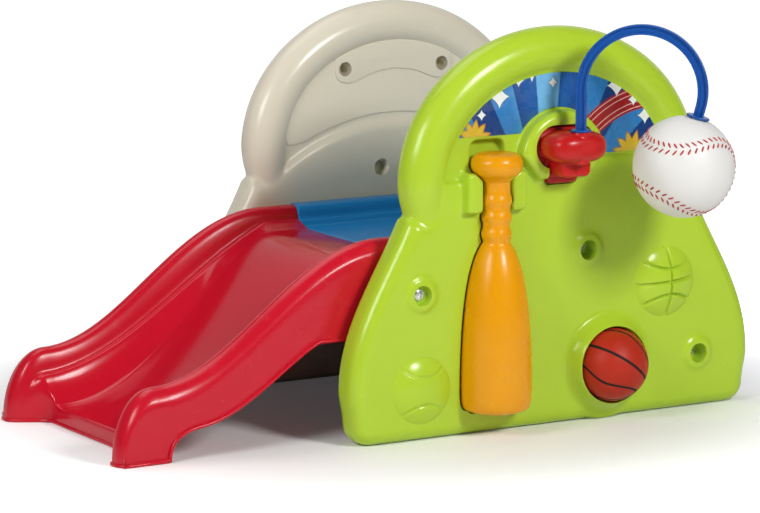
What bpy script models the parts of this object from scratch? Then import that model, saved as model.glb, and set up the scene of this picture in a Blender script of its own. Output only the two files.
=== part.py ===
"""A toddler's slide playset: two arched side panels, a slide, a deck with steps, and sports toys on one panel.

Everything is in metres with +Z up. Sizes are measured from the middle of the panels' arches, on the
floor, halfway between the panels: the slide runs towards -X, the steps rise from +X, and the panel
that carries the toys stands at -Y. One empty moves the whole set so that its box stands centred on
the world's origin.
"""

import math

import bmesh
import bpy
from mathutils import Matrix, Vector

# Gaps that keep separate pieces separate
TOUCH_GAP = 0.0004
SEAT_GAP = 0.0006
THREAD_GAP = 0.0004

# Side panels
PANEL_SPACING = 0.466
PANEL_THICKNESS = 0.065
BASE_HALF_WIDTH = 0.400
BASE_WIDEST_Z = 0.090
FOOT_HALF_WIDTH = 0.392
FOOT_CORNER = 0.034
RIM_ROUNDING = 0.024
NECK_Z = 0.370
SHOULDER_HALF_WIDTH = 0.262
CROWN_Z = 0.465
CROWN_RADIUS = 0.402
ARCH_CENTRE_Z = 0.418
ARCH_HALF_WIDTH = 0.2915
ARCH_RISE = 0.252
RING_HALF_WIDTH = 0.040
RING_HALF_DEPTH = 0.0375
RING_SINK_ANGLE = 24.0
RING_END_SHRINK = 0.70
WEB_RECESS = 0.010

# What the toy side of the green panel carries
LEFT_SHELF_Z = 0.425
RIGHT_SHELF_Z = 0.450
SHELF_BASE_Z = 0.360
SHELF_HALF_WIDTH = 0.235
SHELF_ROUNDING = 0.006
COLLAR_HALF_WIDTH = 0.084
COLLAR_TOP_Z = 0.533
COLLAR_BASE_Z = 0.420
COLLAR_BASE_HALF_WIDTH = 0.050
COLLAR_PROUD = 0.018
COLLAR_ROUNDING = 0.011
CLIP_WIDTH = 0.030
CLIP_OPENING = 0.055
CLIP_TOP_Z = 0.440
CLIP_HEIGHT = 0.067
CLIP_PROUD = 0.019
CLIP_ROUNDING = 0.006
CLIP_SLOPE = 0.9
FINGER_RECESS_X = -0.137
FINGER_RECESS_WIDTH = 0.066
FINGER_RECESS_TOP_Z = 0.491
FINGER_RECESS_BOTTOM_Z = 0.443
FINGER_RECESS_DEPTH = 0.018
BASEBALL_DOME_X = -0.270
BASEBALL_DOME_Z = 0.086
BASEBALL_DOME_RADIUS = 0.057
BASKETBALL_DOME_X = 0.214
BASKETBALL_DOME_Z = 0.226
BASKETBALL_DOME_RADIUS = 0.0617
DOME_PROUD = 0.016

# Blind holes that the mould leaves in the side towards the deck
MOULD_HOLE_RADIUS = 0.0125
LOW_MOULD_HOLE_RADIUS = 0.0150
MOULD_HOLE_DEPTH = 0.025
MOULD_HOLE_TOP_X = 0.100
MOULD_HOLE_TOP_Z = 0.554
MOULD_HOLE_LOW_X = -0.028
MOULD_HOLE_LOW_Z = 0.375

# Panel screws: each goes through a panel into a boss of the slide or the deck
SLIDE_SCREW_X = -0.270
SLIDE_SCREW_Z = 0.244
DECK_SCREW_X = 0.056
DECK_SCREW_Z = 0.293
STEP_SCREW_X = 0.285
STEP_SCREW_Z = 0.095
SHALLOW_HEAD = 0.004
DEEP_HEAD = 0.018
SCREW_BOSS_RADIUS = 0.030
SCREW_BOSS_PROUD = 0.0055
COUNTERBORE_RADIUS = 0.0145
HEAD_RADIUS = 0.0105
HEAD_HEIGHT = 0.004
SHANK_RADIUS = 0.0032
POINT_LENGTH = 0.006
THREAD_LENGTH = 0.024
SIDE_BOSS_RADIUS = 0.013
SIDE_BOSS_DEPTH = 0.034

# Slide
LIP_WIDTH = 0.0055
SLIDE_SIDE_GAP = 0.0010
SLIDE_HALF_WIDTH = PANEL_SPACING / 2 - LIP_WIDTH - SLIDE_SIDE_GAP
LIP_HEIGHT = 0.006
RAIL_WIDTH = 0.055
SHELL_WALL = 0.005
NOSE_LENGTH = 0.075
RUN_OUT_X = -0.715
LEVEL_X = -0.300
RAIL_RUN_OUT_Z = 0.121
RAIL_TOP_Z = 0.328
LEDGE_RUN_OUT_Z = 0.078
LEDGE_TOP_Z = 0.302
BED_RUN_OUT_Z = 0.030
BED_FRONT_LENGTH = 0.013
DECK_Z = 0.293
RAIL_LEAN = 0.0035
LEDGE_WIDTH = 0.038
LEDGE_HALF_WIDTH = SLIDE_HALF_WIDTH - RAIL_WIDTH - RAIL_LEAN
BED_HALF_WIDTH = LEDGE_HALF_WIDTH - LEDGE_WIDTH
NOSE_INNER_HALF_WIDTH = BED_HALF_WIDTH + 0.42 * LEDGE_WIDTH
SKIRT_FOOT_X = -0.698
SKIRT_STEP_X = -0.635
SKIRT_STEP_Z = 0.052
SKIRT_LEVEL_X = -0.422
SKIRT_Z = 0.167
SEAM_SIDE_X = -0.222
SEAM_BULGE = 0.018

# Deck and steps
DECK_END_X = 0.185
RISER_LEAN = 0.010
TREAD_Z = 0.150
TREAD_END_X = 0.340
NOSING = 0.012
DECK_WALL = 0.006
CURB_WIDTH = 0.0475
CURB_END_X = 0.160
CURB_ROUNDING = 0.014
CURB_LEDGE_WIDTH = 0.060
CURB_LEDGE_RISE = 0.010
TONGUE_LENGTH = 0.050
TONGUE_SIDE_GAP = 0.010
TONGUE_HALF_WIDTH = BED_HALF_WIDTH - TONGUE_SIDE_GAP
TONGUE_WALL = 0.006
HOOK_BOSS_HEIGHT = 0.014
HOOK_BOSS_RADIUS = 0.009
HOOK_SCREW_SIDE_INSET = 0.035
HOOK_SCREW_Y = TONGUE_HALF_WIDTH - HOOK_SCREW_SIDE_INSET
HOOK_SCREW_INSET = 0.030
SMALL_HEAD_RADIUS = 0.0065
SMALL_HEAD_HEIGHT = 0.0030
SMALL_SHANK_RADIUS = 0.0020

# Printed sheet in the green panel's arch
SHEET_THICKNESS = 0.0012
SHEET_MARGIN = 0.0035
SHEET_LEFT_Z = 0.497

# Mount for the arched rod
MOUNT_HALF_WIDTH = 0.056
MOUNT_CAP_TOP_Z = 0.507
MOUNT_CAP_BOTTOM_Z = 0.440
MOUNT_STEM_HALF_WIDTH = 0.030
MOUNT_STEM_Z = 0.411
MOUNT_PLATE_SUNK = 0.008
MOUNT_PLATE_PROUD = 0.007
MOUNT_FIT = 0.005
PILLOW_TOP_Z = 0.503
PILLOW_BOTTOM_Z = 0.449
PILLOW_HALF_WIDTH = 0.054
PILLOW_FRONT = 0.080
PILLOW_BACK = -0.004
PILLOW_POWER = 2.8
PIVOT_RECESS = 0.012
STEM_FRONT = 0.0505
STEM_FOOT_Z = 0.4255
STEM_FOOT_HALF_WIDTH = 0.029
MOUNT_SCREW_X = 0.032
MOUNT_SCREW_Z = 0.474
MOUNT_SCREW_REACH = 0.020
MOUNT_SCREW_PANEL_WALL = 0.016

# Arched rod and swing ball
PIVOT_FRONT = 0.0605
ARM_ANGLE = 41.6
PIN_RADIUS = 0.0070
BORE_GAP = 0.0003
FLANGE_RADIUS = 0.017
FLANGE_THICKNESS = 0.003
LEG_LENGTH = 0.070
ARC_RADIUS = 0.100
ARC_SWEEP = 195.0
TAIL_LENGTH = 0.016
ROD_WIDTH = 0.0170
ROD_DEPTH = 0.0130
ROD_FLANGE = 0.0035
ROD_WEB = 0.0050
BALL_FLANGE_RADIUS = 0.0195
BALL_RADIUS = 0.084
BALL_WALL = 0.004
BALL_PLUG_RADIUS = 0.0080
BALL_PLUG_LENGTH = 0.016
WASHER_RADIUS = 0.0090
WASHER_THICKNESS = 0.0015
PIVOT_SCREW_LENGTH = 0.022

# Toy bat
BAT_X = -0.133
BAT_FRONT = 0.012
BAT_BOTTOM_Z = 0.041
BAT_CORNER_Z = 0.074
BAT_RADIUS = 0.0602
BAT_SHOULDER_Z = 0.323
HANDLE_RADIUS = 0.0225
RIDGE_RADIUS = 0.0254
RIDGE_COUNT = 3
RIDGE_TOP_Z = 0.407
NECK_TOP_Z = 0.424
KNOB_RADIUS = 0.0425
KNOB_MIDDLE_Z = 0.453
BAT_TOP_Z = 0.472
BED_CLEARANCE = 0.005

# Foam basketball and its pocket
BASKETBALL_X = 0.097
BASKETBALL_Z = 0.0965
BASKETBALL_RADIUS = 0.0620
BASKETBALL_FRONT = 0.016
POCKET_BASE_RADIUS = 0.0815
POCKET_RIM_RADIUS = 0.0660
POCKET_PROUD = 0.026
POCKET_ROUNDING = 0.0035

INNER_Y = PANEL_SPACING / 2
MIDDLE_Y = INNER_Y + PANEL_THICKNESS / 2
FACE_Y = INNER_Y + PANEL_THICKNESS
GREEN = -1
TAN = 1

PIVOT_Y = -(FACE_Y + PIVOT_FRONT)
BAT_Y = -(FACE_Y + BAT_FRONT)
BASKETBALL_Y = -(FACE_Y + BASKETBALL_FRONT)
ARM_DIRECTION = Vector((math.cos(math.radians(ARM_ANGLE)), -math.sin(math.radians(ARM_ANGLE)), 0.0))
FLANGE_Z = PILLOW_TOP_Z + TOUCH_GAP
PIN_LENGTH = FLANGE_Z - PILLOW_BOTTOM_Z - PIVOT_RECESS + SEAT_GAP


def clear_scene():
    for obj in list(bpy.data.objects):
        bpy.data.objects.remove(obj, do_unlink=True)


def make_collections():
    parts = bpy.data.collections.new("slide_playset")
    cutters = bpy.data.collections.new("cutters")
    cutters.hide_render = True
    for collection in (parts, cutters):
        bpy.context.scene.collection.children.link(collection)
    return parts, cutters


def make_material(name, color, roughness, metallic=0.0):
    material = bpy.data.materials.new(name)
    material.use_nodes = True
    shader = material.node_tree.nodes["Principled BSDF"]
    shader.inputs["Base Color"].default_value = (*color, 1.0)
    shader.inputs["Roughness"].default_value = roughness
    shader.inputs["Metallic"].default_value = metallic
    return material


def make_materials():
    return {
        "green_plastic": make_material("green_plastic", (0.43, 0.60, 0.06), 0.30),
        "tan_plastic": make_material("tan_plastic", (0.62, 0.57, 0.45), 0.32),
        "red_plastic": make_material("red_plastic", (0.58, 0.012, 0.026), 0.25),
        "blue_plastic": make_material("blue_plastic", (0.02, 0.16, 0.43), 0.30),
        "rod_blue": make_material("rod_blue", (0.02, 0.09, 0.42), 0.30),
        "mount_red": make_material("mount_red", (0.55, 0.014, 0.012), 0.33),
        "yellow_plastic": make_material("yellow_plastic", (0.85, 0.36, 0.002), 0.35),
        "ball_white": make_material("ball_white", (0.82, 0.82, 0.80), 0.38),
        "foam_orange": make_material("foam_orange", (0.44, 0.035, 0.012), 0.60),
        "printed_sheet": make_material("printed_sheet", (0.05, 0.20, 0.50), 0.35),
        "zinc_steel": make_material("zinc_steel", (0.70, 0.70, 0.68), 0.28, 1.0),
    }


def make_origin(scene_collection):
    """The empty that carries every piece: it puts the box of the whole set over the world's origin."""
    ball_front_y = ball_centre().y - BALL_RADIUS
    panel_back_y = MIDDLE_Y + RING_HALF_DEPTH
    middle_x = (RUN_OUT_X - NOSE_LENGTH + BASE_HALF_WIDTH) / 2
    origin = bpy.data.objects.new("playset_origin", None)
    origin.location = (-middle_x, -(ball_front_y + panel_back_y) / 2, 0.0)
    scene_collection.objects.link(origin)
    return origin


class Shop:
    """Holds the collections, the origin and the materials that every piece is made with."""

    def __init__(self):
        self.parts, self.cutters = make_collections()
        self.origin = make_origin(self.parts)
        self.materials = make_materials()

    def add_part(self, name, mesh, material, matrix=None):
        obj = self.add_object(name, mesh, matrix, self.parts)
        obj.data.materials.clear()
        obj.data.materials.append(self.materials[material])
        return obj

    def add_cutter(self, name, mesh, matrix=None):
        obj = self.add_object(name, mesh, matrix, self.cutters)
        obj.hide_render = True
        obj.display_type = "WIRE"
        return obj

    def add_object(self, name, mesh, matrix, collection):
        obj = bpy.data.objects.new(name, mesh)
        collection.objects.link(obj)
        obj.parent = self.origin
        obj.matrix_local = matrix or Matrix()
        return obj


def bezier(start, first, second, end, steps):
    """Points on a cubic curve, without its last one, so that runs join end to end."""
    points = []
    for i in range(steps):
        t = i / steps
        weights = ((1 - t) ** 3, 3 * t * (1 - t) ** 2, 3 * t * t * (1 - t), t**3)
        points.append(tuple(sum(w * p[k] for w, p in zip(weights, (start, first, second, end))) for k in (0, 1)))
    return points


def arc(centre, radius, start, end, steps):
    """Points on a circle or an ellipse from one angle to another, in degrees, with both ends."""
    across, up = radius if isinstance(radius, tuple) else (radius, radius)
    angles = [math.radians(start + (end - start) * i / steps) for i in range(steps + 1)]
    return [(centre[0] + across * math.cos(a), centre[1] + up * math.sin(a)) for a in angles]


def rounded_box_outline(low, high, radius, steps=2):
    corners = ((high[0], high[1], 0), (low[0], high[1], 90), (low[0], low[1], 180), (high[0], low[1], 270))
    points = []
    for x, z, turn in corners:
        centre = (x - math.copysign(radius, x - low[0] - radius), z - math.copysign(radius, z - low[1] - radius))
        points += arc(centre, radius, turn, turn + 90, steps)
    return points


def upright(y=0.0):
    """Stands a drawing's plane up: its X stays along X, its Y becomes Z, and it lies at the given depth."""
    return Matrix.Translation((0.0, y, 0.0)) @ Matrix.Rotation(math.radians(90), 4, "X")


def mesh_of(obj):
    """The object's evaluated mesh in its parent's space, welded and facing out, in place of the object."""
    bpy.context.scene.collection.objects.link(obj)
    bpy.context.view_layer.update()
    graph = bpy.context.evaluated_depsgraph_get()
    mesh = bpy.data.meshes.new_from_object(obj.evaluated_get(graph))
    mesh.transform(obj.matrix_world)
    solid = bmesh.new()
    solid.from_mesh(mesh)
    bmesh.ops.remove_doubles(solid, verts=solid.verts, dist=1e-5)
    bmesh.ops.recalc_face_normals(solid, faces=solid.faces)
    solid.to_mesh(mesh)
    solid.free()
    old = obj.data
    bpy.data.objects.remove(obj, do_unlink=True)
    bpy.data.curves.remove(old)
    return mesh


def flat_curve(name, outline, closed=True):
    curve = bpy.data.curves.new(name, "CURVE")
    curve.dimensions = "2D"
    spline = curve.splines.new("POLY")
    spline.points.add(len(outline) - 1)
    for point, (x, z) in zip(spline.points, outline):
        point.co = (x, z, 0.0, 1.0)
    spline.use_cyclic_u = closed
    return curve


def plate(name, outline, low, high, rounding=0.0, steps=2, lying=False):
    """A slab cut to an outline, from one depth to another, with its edges rounded."""
    curve = flat_curve(name, outline)
    curve.fill_mode = "BOTH"
    curve.extrude = abs(high - low) / 2 - rounding
    curve.bevel_depth = rounding
    curve.bevel_resolution = steps
    curve.offset = -rounding
    obj = bpy.data.objects.new(name, curve)
    middle = (low + high) / 2
    obj.matrix_world = Matrix.Translation((0.0, 0.0, middle)) if lying else upright(middle)
    return mesh_of(obj)


def mirrored(half):
    """A closed outline from its right half, which runs from the bottom's middle to the top's middle."""
    return half + [(-x, z) for x, z in reversed(half) if x > 1e-9]


def turned(name, profile, segments):
    """A mesh of revolution round Z. The profile runs down the outer side, from its top to its bottom."""
    solid = bmesh.new()
    points = [solid.verts.new((radius, 0.0, height)) for radius, height in profile]
    edges = [solid.edges.new(pair) for pair in zip(points, points[1:])]
    bmesh.ops.spin(
        solid,
        geom=points + edges,
        cent=(0.0, 0.0, 0.0),
        axis=(0.0, 0.0, 1.0),
        angle=math.tau,
        steps=segments,
        use_merge=True,
    )
    bmesh.ops.remove_doubles(solid, verts=solid.verts, dist=1e-5)
    bmesh.ops.recalc_face_normals(solid, faces=solid.faces)
    mesh = bpy.data.meshes.new(name)
    solid.to_mesh(mesh)
    solid.free()
    return mesh


def along(direction, place):
    """Places a turned piece with its Z along a direction."""
    turn = Vector(direction).to_track_quat("Z", "Y").to_matrix().to_4x4()
    return Matrix.Translation(place) @ turn


def sphere(name, radii, segments, rings):
    solid = bmesh.new()
    bmesh.ops.create_uvsphere(solid, u_segments=segments, v_segments=rings, radius=1.0)
    bmesh.ops.scale(solid, verts=solid.verts, vec=radii)
    mesh = bpy.data.meshes.new(name)
    solid.to_mesh(mesh)
    solid.free()
    return mesh


def cushion(name, half_sizes, power, segments, rings):
    """A ball swollen towards a box: the higher the power, the squarer it is."""
    mesh = sphere(name, (1.0, 1.0, 1.0), segments, rings)
    for vertex in mesh.vertices:
        swell = sum(abs(c) ** power for c in vertex.co) ** (-1 / power)
        vertex.co = [c * swell * half for c, half in zip(vertex.co, half_sizes)]
    return mesh


def cylinder(name, radius, start, end, segments=16, end_radius=None):
    """A cylinder or a cone along Z, from one height to another."""
    solid = bmesh.new()
    bmesh.ops.create_cone(
        solid,
        cap_ends=True,
        segments=segments,
        radius1=radius,
        radius2=radius if end_radius is None else end_radius,
        depth=end - start,
        matrix=Matrix.Translation((0.0, 0.0, (start + end) / 2)),
    )
    mesh = bpy.data.meshes.new(name)
    solid.to_mesh(mesh)
    solid.free()
    return mesh


def combine(obj, other, operation):
    modifier = obj.modifiers.new(other.name, "BOOLEAN")
    modifier.operation = operation
    modifier.solver = "EXACT"
    modifier.object = other


def smooth(obj, angle=40.0):
    obj.data.shade_smooth()
    obj.data.set_sharp_from_angle(angle=math.radians(angle))


def base_outline():
    """The panel's lower body: rounded foot, flared side, neck, and an arched top that the ring rises from."""
    neck_x = ARCH_HALF_WIDTH * math.sqrt(1 - ((ARCH_CENTRE_Z - NECK_Z) / ARCH_RISE) ** 2)
    corner = (FOOT_HALF_WIDTH - FOOT_CORNER, FOOT_CORNER)
    widest = (BASE_HALF_WIDTH, BASE_WIDEST_Z)
    foot_top = (FOOT_HALF_WIDTH, FOOT_CORNER)
    lift = BASE_WIDEST_Z - FOOT_CORNER
    half = arc(corner, FOOT_CORNER, -90, 0, 3)
    half += bezier(foot_top, (FOOT_HALF_WIDTH, FOOT_CORNER + lift / 3), (BASE_HALF_WIDTH, widest[1] - lift / 3), widest, 3)[1:]
    neck = (neck_x, NECK_Z)
    rise = NECK_Z - BASE_WIDEST_Z
    half += bezier(
        widest,
        (BASE_HALF_WIDTH, BASE_WIDEST_Z + 0.39 * rise),
        (neck_x + 0.3 * (BASE_HALF_WIDTH - neck_x), NECK_Z - 0.29 * rise),
        neck,
        7,
    )
    half.append(neck)
    start = math.degrees(math.acos(SHOULDER_HALF_WIDTH / CROWN_RADIUS))
    half += arc((0.0, CROWN_Z - CROWN_RADIUS), CROWN_RADIUS, start, 90, 7)
    return mirrored(half)


def swept(name, path, section, matrix, end_scales=()):
    """A section swept along a line, with closed ends that may be drawn smaller, from the end inwards."""
    guide = bpy.data.objects.new(name + "_section", flat_curve(name + "_section", section))
    bpy.context.scene.collection.objects.link(guide)
    curve = flat_curve(name, path, closed=False)
    curve.bevel_mode = "OBJECT"
    curve.bevel_object = guide
    curve.use_fill_caps = True
    points = curve.splines[0].points
    for i, scale in enumerate(end_scales):
        points[i].radius = scale
        points[len(points) - 1 - i].radius = scale
    obj = bpy.data.objects.new(name, curve)
    obj.matrix_world = matrix
    mesh = mesh_of(obj)
    outline = guide.data
    bpy.data.objects.remove(guide, do_unlink=True)
    bpy.data.curves.remove(outline)
    return mesh


def ring_mesh(name):
    """The nearly round tube that arches over the panel, its two thinner ends sunk in the lower body."""
    radii = (ARCH_HALF_WIDTH - RING_HALF_WIDTH, ARCH_RISE - RING_HALF_WIDTH)
    path = arc((0.0, ARCH_CENTRE_Z), radii, -RING_SINK_ANGLE, 180 + RING_SINK_ANGLE, 30)
    section = arc((0.0, 0.0), (RING_HALF_WIDTH, RING_HALF_DEPTH), 0, 360, 14)[:-1]
    fade = [RING_END_SHRINK + (1 - RING_END_SHRINK) * share for share in (0.0, 0.35, 0.7)]
    return swept(name, path, section, upright(), fade)


def web_outline():
    inner = (ARCH_HALF_WIDTH - RING_HALF_WIDTH, ARCH_RISE - RING_HALF_WIDTH)
    return [(inner[0], SHELF_BASE_Z)] + arc((0.0, ARCH_CENTRE_Z), inner, 0, 180, 22) + [(-inner[0], SHELF_BASE_Z)]


def panel_core(shop, name, side, material):
    """The lower body with the ring and the web between them, which both panels share."""
    low, high = sorted((side * INNER_Y, side * FACE_Y))
    core = shop.add_part(name, plate(name, base_outline(), low, high, RIM_ROUNDING, 2), material)
    ring = shop.add_cutter(name + "_ring", ring_mesh(name + "_ring"), Matrix.Translation((0.0, side * MIDDLE_Y, 0.0)))
    web_mesh = plate(name + "_web", web_outline(), low + WEB_RECESS, high - WEB_RECESS)
    combine(core, ring, "UNION")
    combine(core, shop.add_cutter(name + "_web", web_mesh), "UNION")
    return core


def panel_screws():
    """Name, place in X and Z, and how deep the head sits below the panel's face."""
    return (
        ("slide", SLIDE_SCREW_X, SLIDE_SCREW_Z, SHALLOW_HEAD),
        ("deck", DECK_SCREW_X, DECK_SCREW_Z, DEEP_HEAD),
        ("step", STEP_SCREW_X, STEP_SCREW_Z, DEEP_HEAD),
    )


def add_screw_bosses(shop, panel, side):
    ease = SCREW_BOSS_PROUD
    profile = [
        (0.0, ease),
        (SCREW_BOSS_RADIUS - 2 * ease, ease),
        (SCREW_BOSS_RADIUS - 0.6 * ease, 0.7 * ease),
        (SCREW_BOSS_RADIUS, -ease),
        (0.0, -ease),
    ]
    for name, x, z, _ in panel_screws():
        boss = turned("boss", profile, 20)
        place = along((0, side, 0), (x, side * FACE_Y, z))
        combine(panel, shop.add_cutter(f"{panel.name}_{name}_boss", boss, place), "UNION")


def cut_screw_holes(shop, panel, side):
    for name, x, z, sunk in panel_screws():
        seat = -(sunk + HEAD_HEIGHT + SEAT_GAP)
        through = -(PANEL_THICKNESS + 0.01)
        profile = [
            (0.0, 0.02),
            (COUNTERBORE_RADIUS + 0.002, 0.02),
            (COUNTERBORE_RADIUS + 0.002, SCREW_BOSS_PROUD),
            (COUNTERBORE_RADIUS, SCREW_BOSS_PROUD - 0.002),
            (COUNTERBORE_RADIUS, seat),
            (SHANK_RADIUS + THREAD_GAP, seat),
            (SHANK_RADIUS + THREAD_GAP, through),
            (0.0, through),
        ]
        place = along((0, side, 0), (x, side * FACE_Y, z))
        cutter = shop.add_cutter(f"{panel.name}_{name}_hole", turned("hole", profile, 16), place)
        combine(panel, cutter, "DIFFERENCE")


def screw_mesh(name, head_radius, head_height, shank_radius, length, segments=12):
    """A pan-head screw: its head's underside lies at Z = 0 and its shank runs down."""
    profile = [
        (0.0, head_height),
        (0.55 * head_radius, 0.96 * head_height),
        (0.88 * head_radius, 0.66 * head_height),
        (head_radius, 0.20 * head_height),
        (head_radius, 0.0),
        (shank_radius, 0.0),
        (shank_radius, -(length - 2 * shank_radius)),
        (0.0, -length),
    ]
    return turned(name, profile, segments)


def add_panel_screws(shop, side, label):
    for name, x, z, sunk in panel_screws():
        length = PANEL_THICKNESS - sunk - HEAD_HEIGHT + THREAD_LENGTH
        mesh = screw_mesh(f"{label}_{name}_screw", HEAD_RADIUS, HEAD_HEIGHT, SHANK_RADIUS, length)
        place = along((0, side, 0), (x, side * (FACE_Y - sunk - HEAD_HEIGHT), z))
        smooth(shop.add_part(f"{label}_{name}_screw", mesh, "zinc_steel", place))


def add_side_bosses(shop, body, screws):
    """Bosses on both sides of the slide or deck, drilled for the panel screws' threads."""
    outer = INNER_Y - TOUCH_GAP
    for side in (GREEN, TAN):
        for name, x, z in screws:
            place = along((0, side, 0), (x, 0.0, z))
            label = f"{body.name}_{name}_{'green' if side == GREEN else 'tan'}"
            boss = cylinder("boss", SIDE_BOSS_RADIUS, outer - SIDE_BOSS_DEPTH, outer, 16)
            combine(body, shop.add_cutter(label + "_boss", boss, place), "UNION")
    for side in (GREEN, TAN):
        for name, x, z in screws:
            place = along((0, side, 0), (x, 0.0, z))
            label = f"{body.name}_{name}_{'green' if side == GREEN else 'tan'}"
            pilot = cylinder("pilot", SHANK_RADIUS + THREAD_GAP, outer - THREAD_LENGTH - 0.002, outer + 0.02, 12)
            combine(body, shop.add_cutter(label + "_pilot", pilot, place), "DIFFERENCE")


def cut_mould_holes(shop, panel, side):
    holes = (
        ("left", -MOULD_HOLE_TOP_X, MOULD_HOLE_TOP_Z, WEB_RECESS, MOULD_HOLE_RADIUS),
        ("right", MOULD_HOLE_TOP_X, MOULD_HOLE_TOP_Z, WEB_RECESS, MOULD_HOLE_RADIUS),
        ("low", MOULD_HOLE_LOW_X, MOULD_HOLE_LOW_Z, 0.0, LOW_MOULD_HOLE_RADIUS),
    )
    for name, x, z, start, radius in holes:
        hole = cylinder("hole", radius, start - 0.03, start + MOULD_HOLE_DEPTH, 16)
        place = along((0, side, 0), (x, side * INNER_Y, z))
        combine(panel, shop.add_cutter(f"{panel.name}_{name}_mould_hole", hole, place), "DIFFERENCE")


def mount_outline(grow=0.0):
    """The mushroom shape of the rod mount's back plate: a rounded cap over a narrower stem."""
    cap_radius = (MOUNT_CAP_TOP_Z - MOUNT_CAP_BOTTOM_Z) / 2 + grow
    cap_x = MOUNT_HALF_WIDTH + grow - cap_radius
    cap_z = (MOUNT_CAP_TOP_Z + MOUNT_CAP_BOTTOM_Z) / 2
    stem_x = MOUNT_STEM_HALF_WIDTH + grow
    foot_z = MOUNT_STEM_Z - grow
    corner = 0.3 * MOUNT_STEM_HALF_WIDTH
    half = arc((stem_x - corner, foot_z + corner), corner, -90, 0, 3)
    touch = math.degrees(math.asin(max(-1.0, min(1.0, (stem_x - cap_x) / cap_radius))))
    half += arc((cap_x, cap_z), cap_radius, -90 + touch, 90, 8)
    return mirrored(half)


def bat_profile(grow=0.0):
    """Radius and height down the bat's side: knob, ridged handle, barrel. Grown, it is the bed's cutter."""
    handle = RIDGE_TOP_Z - BAT_SHOULDER_Z
    pitch = handle / RIDGE_COUNT
    ridges = []
    for i in range(RIDGE_COUNT):
        valley = RIDGE_TOP_Z - i * pitch
        ridges += [(HANDLE_RADIUS, valley), (RIDGE_RADIUS, valley - 0.35 * pitch), (RIDGE_RADIUS, valley - 0.65 * pitch)]
    barrel = bezier(
        (HANDLE_RADIUS, BAT_SHOULDER_Z),
        (0.83 * BAT_RADIUS, BAT_SHOULDER_Z - 0.15 * (BAT_SHOULDER_Z - BAT_CORNER_Z)),
        (BAT_RADIUS, BAT_SHOULDER_Z - 0.5 * (BAT_SHOULDER_Z - BAT_CORNER_Z)),
        (BAT_RADIUS, BAT_CORNER_Z),
        8,
    )
    corner = BAT_CORNER_Z - BAT_BOTTOM_Z
    knob_height = BAT_TOP_Z - KNOB_MIDDLE_Z
    side = [
        (0.62 * KNOB_RADIUS, BAT_TOP_Z),
        (0.86 * KNOB_RADIUS, BAT_TOP_Z - 0.2 * knob_height),
        (KNOB_RADIUS, KNOB_MIDDLE_Z + 0.3 * knob_height),
        (KNOB_RADIUS, KNOB_MIDDLE_Z - 0.3 * knob_height),
        (0.88 * KNOB_RADIUS, KNOB_MIDDLE_Z - 0.8 * knob_height),
        (0.66 * KNOB_RADIUS, KNOB_MIDDLE_Z - 1.2 * knob_height),
        (HANDLE_RADIUS, NECK_TOP_Z),
    ]
    side += ridges + barrel
    side += [
        (BAT_RADIUS, BAT_CORNER_Z),
        (0.975 * BAT_RADIUS, BAT_BOTTOM_Z + 0.45 * corner),
        (0.90 * BAT_RADIUS, BAT_BOTTOM_Z + 0.14 * corner),
        (0.72 * BAT_RADIUS, BAT_BOTTOM_Z),
    ]
    top = (0.0, BAT_TOP_Z + grow)
    bottom = (0.0, BAT_BOTTOM_Z - grow)
    grown = [(r + grow, min(max(z, BAT_BOTTOM_Z), BAT_TOP_Z)) for r, z in side]
    grown[0] = (side[0][0], BAT_TOP_Z + grow)
    grown[-1] = (side[-1][0], BAT_BOTTOM_Z - grow)
    return [top] + grown + [bottom]


def add_toy_side_forms(shop, panel):
    """The raised forms of the green panel's outer side, before anything is cut from it."""
    middle = -MIDDLE_Y
    face = -FACE_Y
    shelves = (
        ("left_shelf", rounded_box_outline((-SHELF_HALF_WIDTH, SHELF_BASE_Z), (-0.05, LEFT_SHELF_Z), 1.4 * SHELF_ROUNDING)),
        ("right_shelf", rounded_box_outline((0.05, SHELF_BASE_Z), (SHELF_HALF_WIDTH, RIGHT_SHELF_Z), 1.4 * SHELF_ROUNDING)),
    )
    for name, outline in shelves:
        combine(panel, shop.add_cutter(name, plate(name, outline, face, middle, SHELF_ROUNDING, 1)), "UNION")
    collar_centre = (0.0, COLLAR_TOP_Z - COLLAR_HALF_WIDTH)
    collar = [(-COLLAR_BASE_HALF_WIDTH, COLLAR_BASE_Z), (COLLAR_BASE_HALF_WIDTH, COLLAR_BASE_Z)]
    collar += arc(collar_centre, COLLAR_HALF_WIDTH, 8, 172, 16)
    mesh = plate("collar", collar, face - COLLAR_PROUD, middle, COLLAR_ROUNDING, 2)
    combine(panel, shop.add_cutter("mount_collar", mesh), "UNION")
    ease = POCKET_ROUNDING
    rim_profile = [
        (0.0, POCKET_PROUD),
        (POCKET_RIM_RADIUS, POCKET_PROUD),
        (POCKET_RIM_RADIUS + 0.7 * ease, POCKET_PROUD - 0.3 * ease),
        (POCKET_RIM_RADIUS + ease, POCKET_PROUD - ease),
        (POCKET_BASE_RADIUS - ease, 0.25 * POCKET_PROUD),
        (POCKET_BASE_RADIUS + 3 * ease, -1.5 * ease),
        (POCKET_BASE_RADIUS + 3.5 * ease, -1.3 * RIM_ROUNDING),
        (0.0, -1.3 * RIM_ROUNDING),
    ]
    place = along((0, -1, 0), (BASKETBALL_X, face, BASKETBALL_Z))
    combine(panel, shop.add_cutter("ball_collar", turned("ball_collar", rim_profile, 28), place), "UNION")
    domes = (
        ("baseball_dome", BASEBALL_DOME_X, BASEBALL_DOME_Z, BASEBALL_DOME_RADIUS),
        ("basketball_dome", BASKETBALL_DOME_X, BASKETBALL_DOME_Z, BASKETBALL_DOME_RADIUS),
    )
    for name, x, z, radius in domes:
        dome = sphere(name, (radius, radius, DOME_PROUD), 24, 8)
        place = along((0, -1, 0), (x, face, z))
        combine(panel, shop.add_cutter(name, dome, place), "UNION")


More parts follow.
